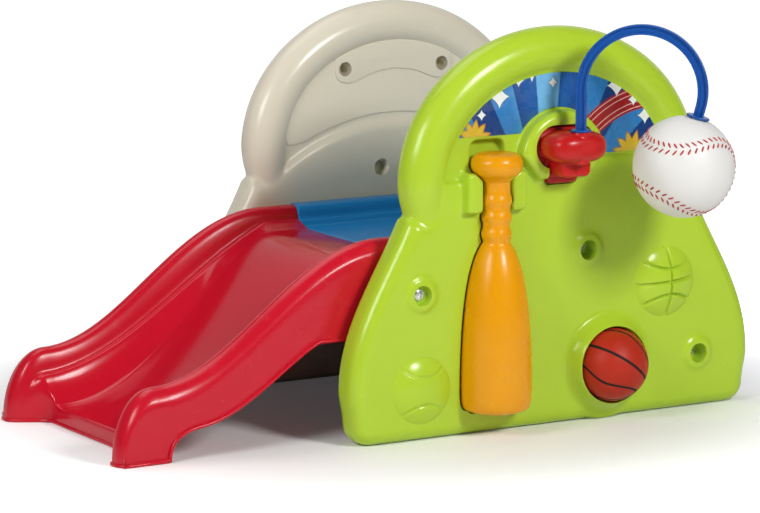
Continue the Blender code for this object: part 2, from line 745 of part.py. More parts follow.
def cut_toy_side(shop, panel):
    """The bat's bed, the finger recess, the ball pocket and the mount's recess, and the floor's level."""
    face = -FACE_Y
    bed_y = BAT_Y - (BED_CLEARANCE - SEAT_GAP)
    bed = shop.add_cutter("bat_bed", turned("bat_bed", bat_profile(BED_CLEARANCE), 20), Matrix.Translation((BAT_X, bed_y, 0.0)))
    combine(panel, bed, "DIFFERENCE")
    floor = face + WEB_RECESS + FINGER_RECESS_DEPTH
    half = FINGER_RECESS_WIDTH / 2
    outline = rounded_box_outline(
        (FINGER_RECESS_X - half, FINGER_RECESS_BOTTOM_Z), (FINGER_RECESS_X + half, FINGER_RECESS_TOP_Z), 0.012, 3
    )
    recess = shop.add_cutter("finger_recess", plate("finger_recess", outline, face - 0.02, floor, 0.006, 1))
    combine(panel, recess, "DIFFERENCE")
    radius = BASKETBALL_RADIUS + SEAT_GAP
    pocket_place = along((0, -1, 0), (BASKETBALL_X, BASKETBALL_Y, BASKETBALL_Z))
    depth = [(0.0, 0.05), (radius, 0.05)] + [
        (radius * math.cos(a), -radius * math.sin(a)) for a in (math.radians(15 * i) for i in range(6))
    ]
    pocket = shop.add_cutter("ball_pocket", turned("ball_pocket", depth + [(0.0, -radius)], 28), pocket_place)
    combine(panel, pocket, "DIFFERENCE")
    recess_mesh = plate("mount_recess", mount_outline(MOUNT_FIT), face - 0.05, face + MOUNT_PLATE_SUNK)
    combine(panel, shop.add_cutter("mount_recess", recess_mesh), "DIFFERENCE")
    below = rounded_box_outline((-0.5, -0.1), (0.5, 0.0), 0.001, 1)
    combine(panel, shop.add_cutter("floor_level", plate("floor_level", below, -0.5, 0.0)), "DIFFERENCE")


def mount_screw_places():
    return (("left", -MOUNT_SCREW_X), ("right", MOUNT_SCREW_X))


def mount_back_y():
    return -(FACE_Y - MOUNT_PLATE_SUNK + TOUCH_GAP)


def mount_screw_seat_y():
    """Where the mount screws' heads bear, inside the panel."""
    return mount_back_y() + MOUNT_SCREW_PANEL_WALL


def cut_mount_screw_holes(shop, panel):
    seat = -mount_screw_seat_y() - INNER_Y
    for name, x in mount_screw_places():
        profile = [
            (0.0, 0.03),
            (COUNTERBORE_RADIUS, 0.03),
            (COUNTERBORE_RADIUS, -seat),
            (SHANK_RADIUS + THREAD_GAP, -seat),
            (SHANK_RADIUS + THREAD_GAP, -seat - 0.04),
            (0.0, -seat - 0.04),
        ]
        place = along((0, 1, 0), (x, -INNER_Y, MOUNT_SCREW_Z))
        cutter = shop.add_cutter(f"mount_{name}_hole", turned("hole", profile, 16), place)
        combine(panel, cutter, "DIFFERENCE")


def clip_outline(side):
    """A clip beside the bat's handle. Its inner top corner slopes like the knob's underside, which rests on it."""
    rest_x = 0.88 * KNOB_RADIUS + SEAT_GAP
    rest_z = KNOB_MIDDLE_Z - 0.8 * (BAT_TOP_Z - KNOB_MIDDLE_Z) - SEAT_GAP
    near = CLIP_OPENING / 2
    far = near + CLIP_WIDTH
    bottom_z = CLIP_TOP_Z - CLIP_HEIGHT
    outline = [(near, bottom_z), (far, bottom_z), (far, CLIP_TOP_Z)]
    outline += [(rest_x + (CLIP_TOP_Z - rest_z) / CLIP_SLOPE, CLIP_TOP_Z)]
    outline += [(near, rest_z - CLIP_SLOPE * (rest_x - near))]
    return [(BAT_X + side * x, z) for x, z in outline]


def add_clips(shop, panel):
    for name, side in (("left", -1), ("right", 1)):
        mesh = plate("clip", clip_outline(side), -FACE_Y - CLIP_PROUD, 0.02 - FACE_Y, CLIP_ROUNDING, 2)
        combine(panel, shop.add_cutter(f"{name}_clip", mesh), "UNION")


def make_green_panel(shop):
    panel = panel_core(shop, "green_side_panel", GREEN, "green_plastic")
    add_toy_side_forms(shop, panel)
    add_screw_bosses(shop, panel, GREEN)
    cut_toy_side(shop, panel)
    cut_screw_holes(shop, panel, GREEN)
    cut_mount_screw_holes(shop, panel)
    add_clips(shop, panel)
    smooth(panel)


def make_tan_panel(shop):
    panel = panel_core(shop, "tan_side_panel", TAN, "tan_plastic")
    add_screw_bosses(shop, panel, TAN)
    cut_screw_holes(shop, panel, TAN)
    cut_mould_holes(shop, panel, TAN)
    smooth(panel)


def lookup(points, x):
    """The height of a curve at X, from its points in order of X."""
    for (x0, z0), (x1, z1) in zip(points, points[1:]):
        if x <= x1:
            return z0 + (z1 - z0) * max(0.0, (x - x0) / (x1 - x0))
    return points[-1][1]


def slide_curves():
    """The four lines that run down the slide: rail top, ledge, bed and the lower edge of the sides."""
    length = LEVEL_X - RUN_OUT_X

    def run(share):
        return RUN_OUT_X + share * length

    rail = bezier(
        (RUN_OUT_X, RAIL_RUN_OUT_Z),
        (run(0.35), RAIL_RUN_OUT_Z + 0.001),
        (run(0.60), RAIL_TOP_Z - 0.006),
        (LEVEL_X, RAIL_TOP_Z),
        24,
    ) + [(LEVEL_X, RAIL_TOP_Z)]
    ledge = bezier(
        (RUN_OUT_X, LEDGE_RUN_OUT_Z),
        (run(0.37), LEDGE_RUN_OUT_Z + 0.018),
        (run(0.64), LEDGE_TOP_Z - 0.067),
        (LEVEL_X, LEDGE_TOP_Z),
        24,
    ) + [(LEVEL_X, LEDGE_TOP_Z)]
    bed = bezier(
        (RUN_OUT_X, BED_RUN_OUT_Z),
        (run(0.45), BED_RUN_OUT_Z - 0.005),
        (run(0.76), DECK_Z),
        (LEVEL_X, DECK_Z),
        24,
    ) + [(LEVEL_X, DECK_Z)]
    skirt = bezier(
        (SKIRT_FOOT_X, 0.0),
        (SKIRT_FOOT_X, 0.7 * SKIRT_STEP_Z),
        (SKIRT_FOOT_X + 0.4 * (SKIRT_STEP_X - SKIRT_FOOT_X), 0.9 * SKIRT_STEP_Z),
        (SKIRT_STEP_X, SKIRT_STEP_Z),
        6,
    )
    reach = SKIRT_LEVEL_X - SKIRT_STEP_X
    skirt += bezier(
        (SKIRT_STEP_X, SKIRT_STEP_Z),
        (SKIRT_STEP_X + 0.35 * reach, SKIRT_STEP_Z + 0.010),
        (SKIRT_LEVEL_X - 0.22 * reach, SKIRT_Z - 0.017),
        (SKIRT_LEVEL_X, SKIRT_Z),
        10,
    ) + [(SKIRT_LEVEL_X, SKIRT_Z)]
    return rail, ledge, bed, skirt


def slide_section(rail, ledge, bed, skirt):
    """Half of the slide's section, from its middle out over the rail and down the side, as Y and Z."""
    outer = SLIDE_HALF_WIDTH
    crest_y = outer - RAIL_WIDTH / 2
    wall_y = outer - RAIL_WIDTH
    drop = rail - ledge
    rim = min(0.030, 0.5 * (rail - skirt))
    return [
        (0.0, bed),
        (0.55 * BED_HALF_WIDTH, bed),
        (BED_HALF_WIDTH, bed),
        (BED_HALF_WIDTH + 0.45 * (LEDGE_HALF_WIDTH - BED_HALF_WIDTH), bed + 0.30 * (ledge - bed)),
        (BED_HALF_WIDTH + 0.80 * (LEDGE_HALF_WIDTH - BED_HALF_WIDTH), bed + 0.70 * (ledge - bed)),
        (LEDGE_HALF_WIDTH, ledge),
        (wall_y + 0.10 * RAIL_WIDTH, ledge + 0.10 * drop),
        (wall_y + 0.17 * RAIL_WIDTH, ledge + 0.50 * drop),
        (wall_y + 0.28 * RAIL_WIDTH, ledge + 0.86 * drop),
        (crest_y, rail),
        (crest_y + 0.22 * RAIL_WIDTH, rail - 0.13 * rim),
        (crest_y + 0.40 * RAIL_WIDTH, rail - 0.45 * rim),
        (outer, rail - rim),
        (outer, (rail - rim + skirt + LIP_HEIGHT) / 2),
        (outer, skirt + 1.2 * LIP_HEIGHT),
        (outer + LIP_WIDTH, skirt + LIP_HEIGHT),
        (outer + LIP_WIDTH, skirt),
    ]


def nose_reach(y):
    """How far a line of the section runs on in front of the run-out before it meets the floor."""
    crest_y = SLIDE_HALF_WIDTH - RAIL_WIDTH / 2
    if y > crest_y:
        share = (y - crest_y) / (SLIDE_HALF_WIDTH + LIP_WIDTH - crest_y)
        least = 0.6 * NOSE_LENGTH
        return least + (NOSE_LENGTH - least) * (1 - share**3) ** 0.5
    share = min(1.0, (crest_y - y) / (crest_y - NOSE_INNER_HALF_WIDTH))
    return BED_FRONT_LENGTH + (NOSE_LENGTH - BED_FRONT_LENGTH) * (0.5 + 0.5 * math.cos(math.pi * share))


def slide_mesh(name):
    """The slide's open skin: its section, drawn at stations down its length and rounded into the floor."""
    rail, ledge, bed, skirt = slide_curves()
    stations = [RUN_OUT_X + 0.010, SKIRT_FOOT_X - 0.001, SKIRT_FOOT_X + 0.007, SKIRT_FOOT_X + 0.020]
    steps = 15
    stations += [SKIRT_FOOT_X + 0.040 + (LEVEL_X - SKIRT_FOOT_X - 0.040) * i / steps for i in range(steps + 1)]
    stations.append(SEAM_SIDE_X + 2 * SEAM_BULGE)
    first = slide_section(lookup(rail, RUN_OUT_X), lookup(ledge, RUN_OUT_X), lookup(bed, RUN_OUT_X), 0.0)
    rows = []
    nose_steps = 5
    for i in range(nose_steps + 1):
        angle = math.radians(90 * i / nose_steps)
        rows.append(
            [(RUN_OUT_X - nose_reach(y) * math.cos(angle), y, z * math.sin(angle)) for y, z in first]
        )
    for x in stations:
        low = 0.0 if x < SKIRT_FOOT_X else lookup(skirt, x)
        section = slide_section(lookup(rail, x), lookup(ledge, x), lookup(bed, x), low)
        rows.append([(x, y, z) for y, z in section])
    solid = bmesh.new()
    grid = [[solid.verts.new(point) for point in row] for row in rows]
    for row, following in zip(grid, grid[1:]):
        for i in range(len(row) - 1):
            solid.faces.new((row[i], following[i], following[i + 1], row[i + 1]))
    mesh = bpy.data.meshes.new(name)
    solid.to_mesh(mesh)
    solid.free()
    return mesh


def seam_outline(gap):
    """What lies on the deck's side of the seam, seen from above: its front edge bows towards the slide."""
    half = INNER_Y + 0.02
    radius = (half**2 + SEAM_BULGE**2) / (2 * SEAM_BULGE)
    centre_x = SEAM_SIDE_X - SEAM_BULGE + radius
    span = math.degrees(math.asin(half / radius))
    front = arc((centre_x, 0.0), radius + gap, 180 - span, 180 + span, 14)
    return front + [(0.6, -half), (0.6, half)]


def hook_screw_x():
    return SEAM_SIDE_X - SEAM_BULGE - HOOK_SCREW_INSET


def tongue_top_z():
    return DECK_Z - SHELL_WALL - HOOK_BOSS_HEIGHT


def make_slide(shop):
    slide = shop.add_part("slide_chute", slide_mesh("slide_chute"), "red_plastic")
    mirror = slide.modifiers.new("other_side", "MIRROR")
    mirror.use_axis = (False, True, False)
    mirror.merge_threshold = 0.0001
    shell = slide.modifiers.new("wall", "SOLIDIFY")
    shell.thickness = SHELL_WALL
    shell.offset = -1.0
    combine(slide, shop.add_cutter("seam_on_slide", plate("seam", seam_outline(TOUCH_GAP), -0.1, 0.6, lying=True)), "DIFFERENCE")
    for side in (-1, 1):
        place = Matrix.Translation((hook_screw_x(), side * HOOK_SCREW_Y, 0.0))
        base = tongue_top_z() + TOUCH_GAP
        boss = cylinder("boss", HOOK_BOSS_RADIUS, base, DECK_Z - SHELL_WALL / 2, 16)
        combine(slide, shop.add_cutter(f"hook_boss_{side}", boss, place), "UNION")
        pilot = cylinder("pilot", SMALL_SHANK_RADIUS + THREAD_GAP, base - 0.01, DECK_Z - SHELL_WALL - 0.001, 12)
        combine(slide, shop.add_cutter(f"hook_pilot_{side}", pilot, place), "DIFFERENCE")
    add_side_bosses(shop, slide, (("slide", SLIDE_SCREW_X, SLIDE_SCREW_Z),))
    smooth(slide, 50)


def stair_outline(inset=0.0):
    """Side view of the deck and the steps: outside, or inset by a wall for the hollow under them."""
    nose = max(NOSING - inset, 0.002)
    floor = -0.02 if inset else 0.0
    front = SEAM_SIDE_X - 3 * SEAM_BULGE - inset
    deck_end = DECK_END_X - inset
    riser_foot = DECK_END_X + RISER_LEAN - inset
    tread_end = TREAD_END_X - inset
    inside_x = DECK_END_X - 2 * NOSING + inset
    skirt = SKIRT_Z - (0.02 if inset else 0.0)
    outline = [(front, skirt), (inside_x, skirt), (inside_x, floor), (tread_end + RISER_LEAN, floor)]
    outline += arc((tread_end - nose, TREAD_Z - inset - nose), nose, 0, 90, 4)
    outline += [(riser_foot, TREAD_Z - inset)]
    outline += arc((deck_end - nose, DECK_Z - inset - nose), nose, 0, 90, 4)
    outline += [(front, DECK_Z - inset)]
    return outline


def curb_outline(height, end):
    """Side view of a curb: level, then rounded down to the deck before the first step."""
    front = SEAM_SIDE_X - 3 * SEAM_BULGE
    fall = height - DECK_Z
    foot = DECK_Z - 1.5 * CURB_ROUNDING
    outline = [(front, foot), (end + 0.5 * fall, foot)]
    return outline + arc((end - fall, DECK_Z), (1.5 * fall, fall), 0, 90, 5) + [(front, height)]


def make_deck(shop):
    outer = SLIDE_HALF_WIDTH
    deck = shop.add_part("deck_and_steps", plate("deck_and_steps", stair_outline(), -outer, outer), "blue_plastic")
    for side in (-1, 1):
        for name, width, height, rounding in (
            ("curb", CURB_WIDTH, RAIL_TOP_Z, CURB_ROUNDING),
            ("curb_ledge", CURB_LEDGE_WIDTH, DECK_Z + CURB_LEDGE_RISE, 0.45 * CURB_LEDGE_RISE),
        ):
            low, high = sorted((side * outer, side * (outer - width)))
            mesh = plate(name, curb_outline(height, CURB_END_X), low, high, rounding, 2)
            combine(deck, shop.add_cutter(f"{name}_{side}", mesh), "UNION")
    hollow = plate("stair_hollow", stair_outline(DECK_WALL), -outer + DECK_WALL, outer - DECK_WALL)
    combine(deck, shop.add_cutter("stair_hollow", hollow), "DIFFERENCE")
    seam = seam_outline(0.0)[:15]
    far = SEAM_SIDE_X - 0.3
    before = plate("before_seam", seam + [(far, -INNER_Y - 0.02), (far, INNER_Y + 0.02)], -0.1, 0.6, lying=True)
    combine(deck, shop.add_cutter("seam_on_deck", before), "DIFFERENCE")
    top = tongue_top_z()
    root = SEAM_SIDE_X + DECK_WALL
    tip = SEAM_SIDE_X - TONGUE_LENGTH
    tongue = [(tip, top - TONGUE_WALL), (root + TONGUE_WALL, top - TONGUE_WALL), (root + TONGUE_WALL, DECK_Z - 0.5 * DECK_WALL)]
    tongue += [(root, DECK_Z - 0.5 * DECK_WALL), (root, top), (tip, top)]
    mesh = plate("tongue", tongue, -TONGUE_HALF_WIDTH, TONGUE_HALF_WIDTH)
    combine(deck, shop.add_cutter("deck_tongue", mesh), "UNION")
    for side in (-1, 1):
        place = Matrix.Translation((hook_screw_x(), side * HOOK_SCREW_Y, 0.0))
        hole = cylinder("hole", SMALL_SHANK_RADIUS + THREAD_GAP, top - 0.02, top + 0.01, 12)
        combine(deck, shop.add_cutter(f"tongue_hole_{side}", hole, place), "DIFFERENCE")
    add_side_bosses(shop, deck, (("deck", DECK_SCREW_X, DECK_SCREW_Z), ("step", STEP_SCREW_X, STEP_SCREW_Z)))
    smooth(deck, 50)


def add_hook_screws(shop):
    length = TONGUE_WALL + 0.8 * HOOK_BOSS_HEIGHT
    for name, side in (("green", -1), ("tan", 1)):
        label = f"slide_hook_screw_{name}_side"
        mesh = screw_mesh(label, SMALL_HEAD_RADIUS, SMALL_HEAD_HEIGHT, SMALL_SHANK_RADIUS, length)
        place = (hook_screw_x(), side * HOOK_SCREW_Y, tongue_top_z() - TONGUE_WALL - TOUCH_GAP)
        smooth(shop.add_part(label, mesh, "zinc_steel", along((0, 0, -1), place)))


def sheet_outline():
    """The printed sheet fills the arch above the shelves and goes round the mount's collar."""
    sunk = PANEL_THICKNESS / 2 - WEB_RECESS
    reach = RING_HALF_WIDTH * (1 + math.sqrt(1 - (sunk / RING_HALF_DEPTH) ** 2)) + SHEET_MARGIN
    inner = (ARCH_HALF_WIDTH - reach, ARCH_RISE - reach)
    left_z = SHEET_LEFT_Z
    right_z = RIGHT_SHELF_Z + SHEET_MARGIN
    start = math.degrees(math.asin((right_z - ARCH_CENTRE_Z) / inner[1]))
    end = 180 - math.degrees(math.asin((left_z - ARCH_CENTRE_Z) / inner[1]))
    outline = arc((0.0, ARCH_CENTRE_Z), inner, start, end, 20)
    radius = COLLAR_HALF_WIDTH + SHEET_MARGIN
    centre_z = COLLAR_TOP_Z - COLLAR_HALF_WIDTH
    left = 180 - math.degrees(math.asin((left_z - centre_z) / radius))
    right = math.degrees(math.asin((right_z - centre_z) / radius))
    return outline + arc((0.0, centre_z), radius, left, right, 12)


def make_sheet(shop):
    back = -(FACE_Y - WEB_RECESS) - TOUCH_GAP
    mesh = plate("arch_sheet", sheet_outline(), back - SHEET_THICKNESS, back)
    shop.add_part("arch_sheet", mesh, "printed_sheet")


def make_mount(shop):
    back = mount_back_y()
    face = -FACE_Y
    mount = shop.add_part(
        "rod_mount", plate("rod_mount", mount_outline(), face - MOUNT_PLATE_PROUD, back, 0.002, 1), "mount_red"
    )
    middle_y = face - (PILLOW_FRONT + PILLOW_BACK) / 2
    middle_z = (PILLOW_TOP_Z + PILLOW_BOTTOM_Z) / 2
    half_sizes = (PILLOW_HALF_WIDTH, (PILLOW_FRONT - PILLOW_BACK) / 2, (PILLOW_TOP_Z - PILLOW_BOTTOM_Z) / 2)
    pillow = shop.add_cutter(
        "mount_pillow", cushion("pillow", half_sizes, PILLOW_POWER, 22, 12), Matrix.Translation((0.0, middle_y, middle_z))
    )
    combine(mount, pillow, "UNION")
    stem = rounded_box_outline(
        (-STEM_FOOT_HALF_WIDTH, STEM_FOOT_Z), (STEM_FOOT_HALF_WIDTH, PILLOW_TOP_Z - 0.02), 0.008
    )
    mesh = plate("stem", stem, face - STEM_FRONT, face, 0.005, 1)
    combine(mount, shop.add_cutter("mount_stem", mesh), "UNION")
    pivot = Matrix.Translation((0.0, PIVOT_Y, 0.0))
    seat = cylinder("seat", WASHER_RADIUS + 0.0045, PILLOW_BOTTOM_Z, PILLOW_TOP_Z, 20, FLANGE_RADIUS - 0.002)
    combine(mount, shop.add_cutter("pivot_seat", seat, pivot), "UNION")
    bore = cylinder("bore", PIN_RADIUS + BORE_GAP, PILLOW_BOTTOM_Z - 0.02, PILLOW_TOP_Z + 0.02, 20)
    combine(mount, shop.add_cutter("pivot_bore", bore, pivot), "DIFFERENCE")
    recess_top = PILLOW_BOTTOM_Z + PIVOT_RECESS
    recess = cylinder("recess", WASHER_RADIUS + 0.001, PILLOW_BOTTOM_Z - 0.02, recess_top, 20)
    combine(mount, shop.add_cutter("pivot_recess", recess, pivot), "DIFFERENCE")
    for name, x in mount_screw_places():
        pilot = cylinder("pilot", SHANK_RADIUS + THREAD_GAP, -MOUNT_SCREW_REACH - 0.002, 0.02, 12)
        place = along((0, 1, 0), (x, back, MOUNT_SCREW_Z))
        combine(mount, shop.add_cutter(f"mount_pilot_{name}", pilot, place), "DIFFERENCE")
    smooth(mount)


def add_mount_screws(shop):
    length = MOUNT_SCREW_PANEL_WALL + MOUNT_SCREW_REACH
    seat = mount_screw_seat_y() + TOUCH_GAP
    for name, x in mount_screw_places():
        mesh = screw_mesh(f"mount_screw_{name}", HEAD_RADIUS, HEAD_HEIGHT, SHANK_RADIUS, length)
        place = along((0, 1, 0), (x, seat, MOUNT_SCREW_Z))
        smooth(shop.add_part(f"mount_screw_{name}", mesh, "zinc_steel", place))


def rod_path():
    """The rod's line in its own upright plane: up, over in an arc of more than half a turn, and down to the ball."""
    start = (0.0, FLANGE_THICKNESS / 2)
    centre = (ARC_RADIUS, LEG_LENGTH)
    path = [start] + arc(centre, ARC_RADIUS, 180, 180 - ARC_SWEEP, 22)
    last = math.radians(180 - ARC_SWEEP)
    down = (math.sin(last), -math.cos(last))
    path.append((path[-1][0] + TAIL_LENGTH * down[0], path[-1][1] + TAIL_LENGTH * down[1]))
    return path, down


def arm_point(across, height):
    """A point of the arm's plane, across from the pivot and up from the lower flange."""
    pivot = Vector((0.0, PIVOT_Y, FLANGE_Z))
    return pivot + across * ARM_DIRECTION + Vector((0.0, 0.0, height))


def arm_matrix():
    out = ARM_DIRECTION
    up = Vector((0.0, 0.0, 1.0))
    normal = out.cross(up)
    turn = Matrix((out, up, normal)).transposed().to_4x4()
    return turn


def ball_flange():
    """Where the rod meets the ball: the flange's middle and the direction on towards the ball's centre."""
    path, down = rod_path()
    place = arm_point(*path[-1])
    return place, (arm_point(*down) - arm_point(0.0, 0.0)).normalized()


def ball_centre():
    place, down = ball_flange()
    return place + (FLANGE_THICKNESS / 2 + TOUCH_GAP + BALL_RADIUS) * down


def rod_section():
    """The H section: two flanges along the rod's inner and outer edges with a web between them."""
    w, d, f, t = ROD_WIDTH / 2, ROD_DEPTH / 2, ROD_FLANGE, ROD_WEB / 2
    quarter = [(w, -d), (w, d), (w - f, d), (w - f, t)]
    return quarter + [(-x, z) for x, z in reversed(quarter[1:])] + [(-w, -d), (f - w, -d), (f - w, -t), (w - f, -t), (w - f, -d)]


def make_rod(shop):
    """The arched rod with its flanges, the pin that turns in the mount and the plug that holds the ball."""
    path, _ = rod_path()
    mesh = swept("arch_rod", path, rod_section(), arm_matrix())
    pivot = Matrix.Translation((0.0, PIVOT_Y, FLANGE_Z))
    rod = shop.add_part("arch_rod", mesh, "rod_blue", pivot)
    pin = [
        (0.0, FLANGE_THICKNESS),
        (0.9 * FLANGE_RADIUS, FLANGE_THICKNESS),
        (FLANGE_RADIUS, 0.6 * FLANGE_THICKNESS),
        (FLANGE_RADIUS, 0.0),
        (PIN_RADIUS, 0.0),
        (PIN_RADIUS, -PIN_LENGTH),
        (0.0, -PIN_LENGTH),
    ]
    combine(rod, shop.add_cutter("rod_pin", turned("rod_pin", pin, 20), pivot), "UNION")
    half = FLANGE_THICKNESS / 2
    plug = [
        (0.0, half + BALL_PLUG_LENGTH),
        (BALL_PLUG_RADIUS, half + BALL_PLUG_LENGTH),
        (BALL_PLUG_RADIUS, half),
        (BALL_FLANGE_RADIUS, half),
        (BALL_FLANGE_RADIUS, -0.2 * half),
        (0.9 * BALL_FLANGE_RADIUS, -half),
        (0.0, -half),
    ]
    place, down = ball_flange()
    combine(rod, shop.add_cutter("ball_plug", turned("ball_plug", plug, 20), along(down, place)), "UNION")
    thread = cylinder("thread", SMALL_SHANK_RADIUS + THREAD_GAP, -PIN_LENGTH - 0.01, -PIN_LENGTH + PIVOT_SCREW_LENGTH, 12)
    combine(rod, shop.add_cutter("pivot_thread", thread, pivot), "DIFFERENCE")
    smooth(rod)


def make_swing_ball(shop):
    """A hollow ball, open where the rod's plug goes in, with a flat spot under the flange."""
    _, down = ball_flange()
    place = along(down, ball_centre())
    ball = shop.add_part("swing_ball", sphere("swing_ball", (BALL_RADIUS,) * 3, 28, 18), "ball_white", place)
    hollow = sphere("hollow", (BALL_RADIUS - BALL_WALL,) * 3, 16, 10)
    combine(ball, shop.add_cutter("ball_hollow", hollow, place), "DIFFERENCE")
    mouth = cylinder("mouth", BALL_PLUG_RADIUS + TOUCH_GAP, -BALL_RADIUS - 0.01, -BALL_RADIUS + BALL_PLUG_LENGTH + 0.004, 20)
    combine(ball, shop.add_cutter("ball_mouth", mouth, place), "DIFFERENCE")
    smooth(ball)


def make_pivot_fasteners(shop):
    """The washer and screw that keep the rod's pin in the mount."""
    pin_end = FLANGE_Z - PIN_LENGTH
    top = pin_end - TOUCH_GAP
    ring = [
        (SMALL_SHANK_RADIUS + THREAD_GAP, top),
        (WASHER_RADIUS, top),
        (WASHER_RADIUS, top - WASHER_THICKNESS),
        (SMALL_SHANK_RADIUS + THREAD_GAP, top - WASHER_THICKNESS),
        (SMALL_SHANK_RADIUS + THREAD_GAP, top),
    ]
    place = Matrix.Translation((0.0, PIVOT_Y, 0.0))
    smooth(shop.add_part("pivot_washer", turned("pivot_washer", ring, 20), "zinc_steel", place))
    length = PIVOT_SCREW_LENGTH + WASHER_THICKNESS - 0.003
    mesh = screw_mesh("pivot_screw", SMALL_HEAD_RADIUS, SMALL_HEAD_HEIGHT, SMALL_SHANK_RADIUS, length)
    under = (0.0, PIVOT_Y, top - WASHER_THICKNESS - TOUCH_GAP)
    smooth(shop.add_part("pivot_screw", mesh, "zinc_steel", along((0, 0, -1), under)))


def make_bat(shop):
    place = Matrix.Translation((BAT_X, BAT_Y, 0.0))
    smooth(shop.add_part("toy_bat", turned("toy_bat", bat_profile(), 20), "yellow_plastic", place), 60)


def make_basketball(shop):
    radius = BASKETBALL_RADIUS
    place = along((0, -1, 0), (BASKETBALL_X, BASKETBALL_Y, BASKETBALL_Z))
    rings = 12
    profile = [
        (radius * math.sin(a), radius * math.cos(a)) for a in (math.pi * i / rings for i in range(1, rings))
    ]
    mesh = turned("foam_basketball", [(0.0, radius)] + profile + [(0.0, -radius)], 28)
    smooth(shop.add_part("foam_basketball", mesh, "foam_orange", place), 60)


def main():
    clear_scene()
    shop = Shop()
    make_green_panel(shop)
    make_tan_panel(shop)
    make_slide(shop)
    make_deck(shop)
    make_sheet(shop)
    make_mount(shop)
    make_rod(shop)
    make_swing_ball(shop)
    make_pivot_fasteners(shop)
    make_bat(shop)
    make_basketball(shop)
    add_mount_screws(shop)
    add_hook_screws(shop)
    add_panel_screws(shop, GREEN, "green")
    add_panel_screws(shop, TAN, "tan")


main()
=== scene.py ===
import math

import bmesh
import bpy
from mathutils import Euler, Matrix, Vector


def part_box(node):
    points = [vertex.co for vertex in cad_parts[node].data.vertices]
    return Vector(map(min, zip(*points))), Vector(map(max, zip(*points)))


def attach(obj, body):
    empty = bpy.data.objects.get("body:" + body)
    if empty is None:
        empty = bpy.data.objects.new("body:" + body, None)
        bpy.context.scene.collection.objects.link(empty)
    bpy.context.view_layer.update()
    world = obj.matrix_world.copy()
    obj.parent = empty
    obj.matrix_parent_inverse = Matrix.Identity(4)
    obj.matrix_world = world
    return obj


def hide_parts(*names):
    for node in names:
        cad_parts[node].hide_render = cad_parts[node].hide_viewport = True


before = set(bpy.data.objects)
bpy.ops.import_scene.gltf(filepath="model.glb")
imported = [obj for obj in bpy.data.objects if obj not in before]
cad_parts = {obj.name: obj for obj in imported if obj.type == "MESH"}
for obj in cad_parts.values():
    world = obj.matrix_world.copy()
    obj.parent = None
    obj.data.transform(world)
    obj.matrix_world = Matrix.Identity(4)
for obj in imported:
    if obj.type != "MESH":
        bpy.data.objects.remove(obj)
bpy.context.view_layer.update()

# The set's own frame: X from the middle of the arches, Y from halfway between the panels, Z from the floor
GREEN_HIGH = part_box("green_side_panel")[1]
TAN_LOW, TAN_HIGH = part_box("tan_side_panel")
SHIFT = Vector(((TAN_LOW.x + TAN_HIGH.x) / 2, (GREEN_HIGH.y + TAN_LOW.y) / 2, 0.0))

# Side panels
PANEL_SPACING = 0.466
PANEL_THICKNESS = 0.065
BASE_HALF_WIDTH = 0.400
BASE_WIDEST_Z = 0.090
FOOT_HALF_WIDTH = 0.392
FOOT_CORNER = 0.034
RIM_ROUNDING = 0.024
NECK_Z = 0.370
SHOULDER_HALF_WIDTH = 0.262
CROWN_Z = 0.465
CROWN_RADIUS = 0.402
ARCH_CENTRE_Z = 0.418
ARCH_HALF_WIDTH = 0.2915
ARCH_RISE = 0.252
RING_HALF_WIDTH = 0.040
RING_HALF_DEPTH = 0.0375
RING_SINK_ANGLE = 24.0
WEB_RECESS = 0.010
INNER_Y = PANEL_SPACING / 2
MIDDLE_Y = INNER_Y + PANEL_THICKNESS / 2
FACE_Y = INNER_Y + PANEL_THICKNESS
GREEN = -1
TAN = 1

# What is left free between pieces that are fitted together, and how far a cut reaches past a face
FIT_GAP = 0.0004
SEAM_GAP = 0.0006
CUT_REACH = 0.02

# What the toy side of the green panel carries
LEFT_SHELF_Z = 0.425
RIGHT_SHELF_Z = 0.450
SHELF_BASE_Z = 0.360
SHELF_HALF_WIDTH = 0.235
SHELF_INNER_X = 0.05
SHELF_CORNER = 0.0084
SHELF_ROUNDING = 0.006
COLLAR_HALF_WIDTH = 0.084
COLLAR_TOP_Z = 0.533
COLLAR_BASE_Z = 0.420
COLLAR_BASE_HALF_WIDTH = 0.050
COLLAR_PROUD = 0.018
COLLAR_ROUNDING = 0.011
CLIP_WIDTH = 0.030
CLIP_OPENING = 0.055
CLIP_TOP_Z = 0.440
CLIP_HEIGHT = 0.067
CLIP_PROUD = 0.019
CLIP_SLOPE = 0.9
CLIP_CORNER = 0.010
CLIP_ROUNDING = 0.006
FINGER_RECESS_X = -0.137
FINGER_RECESS_WIDTH = 0.066
FINGER_RECESS_TOP_Z = 0.491
FINGER_RECESS_BOTTOM_Z = 0.443
FINGER_RECESS_DEPTH = 0.018
FINGER_RECESS_CORNER = 0.014
FINGER_RECESS_ROUNDING = 0.008
BASEBALL_DOME = (-0.270, 0.086, 0.057)
BASKETBALL_DOME = (0.214, 0.226, 0.0617)
DOME_PROUD = 0.016
DOME_FLATNESS = 0.85
DOME_EDGE_SINK = 0.0012

# Grooves across the domes: half width as a share of the dome's radius, and depth
BASKETBALL_GROOVE = (0.052, 0.0060)
BASEBALL_GROOVE = (0.07, 0.0022)

# The tan panel's inner side. Each mould hole has its X, its Z, how far in its mouth lies, and its radius
MOULD_HOLES = ((-0.100, 0.554, 0.010, 0.0125), (0.100, 0.554, 0.010, 0.0125), (-0.028, 0.375, 0.0, 0.0150))
MOULD_HOLE_DEPTH = 0.025
WINDOW_GAP = 0.0070
WINDOW_CORNER_X = 0.180
WINDOW_PROUD = 0.0028
HOLE_BAND_EDGE = 0.013
HOLE_BAND_PROUD = 0.0052
PAD_TUCK = 0.003
PAD_ROUNDING = 0.0012

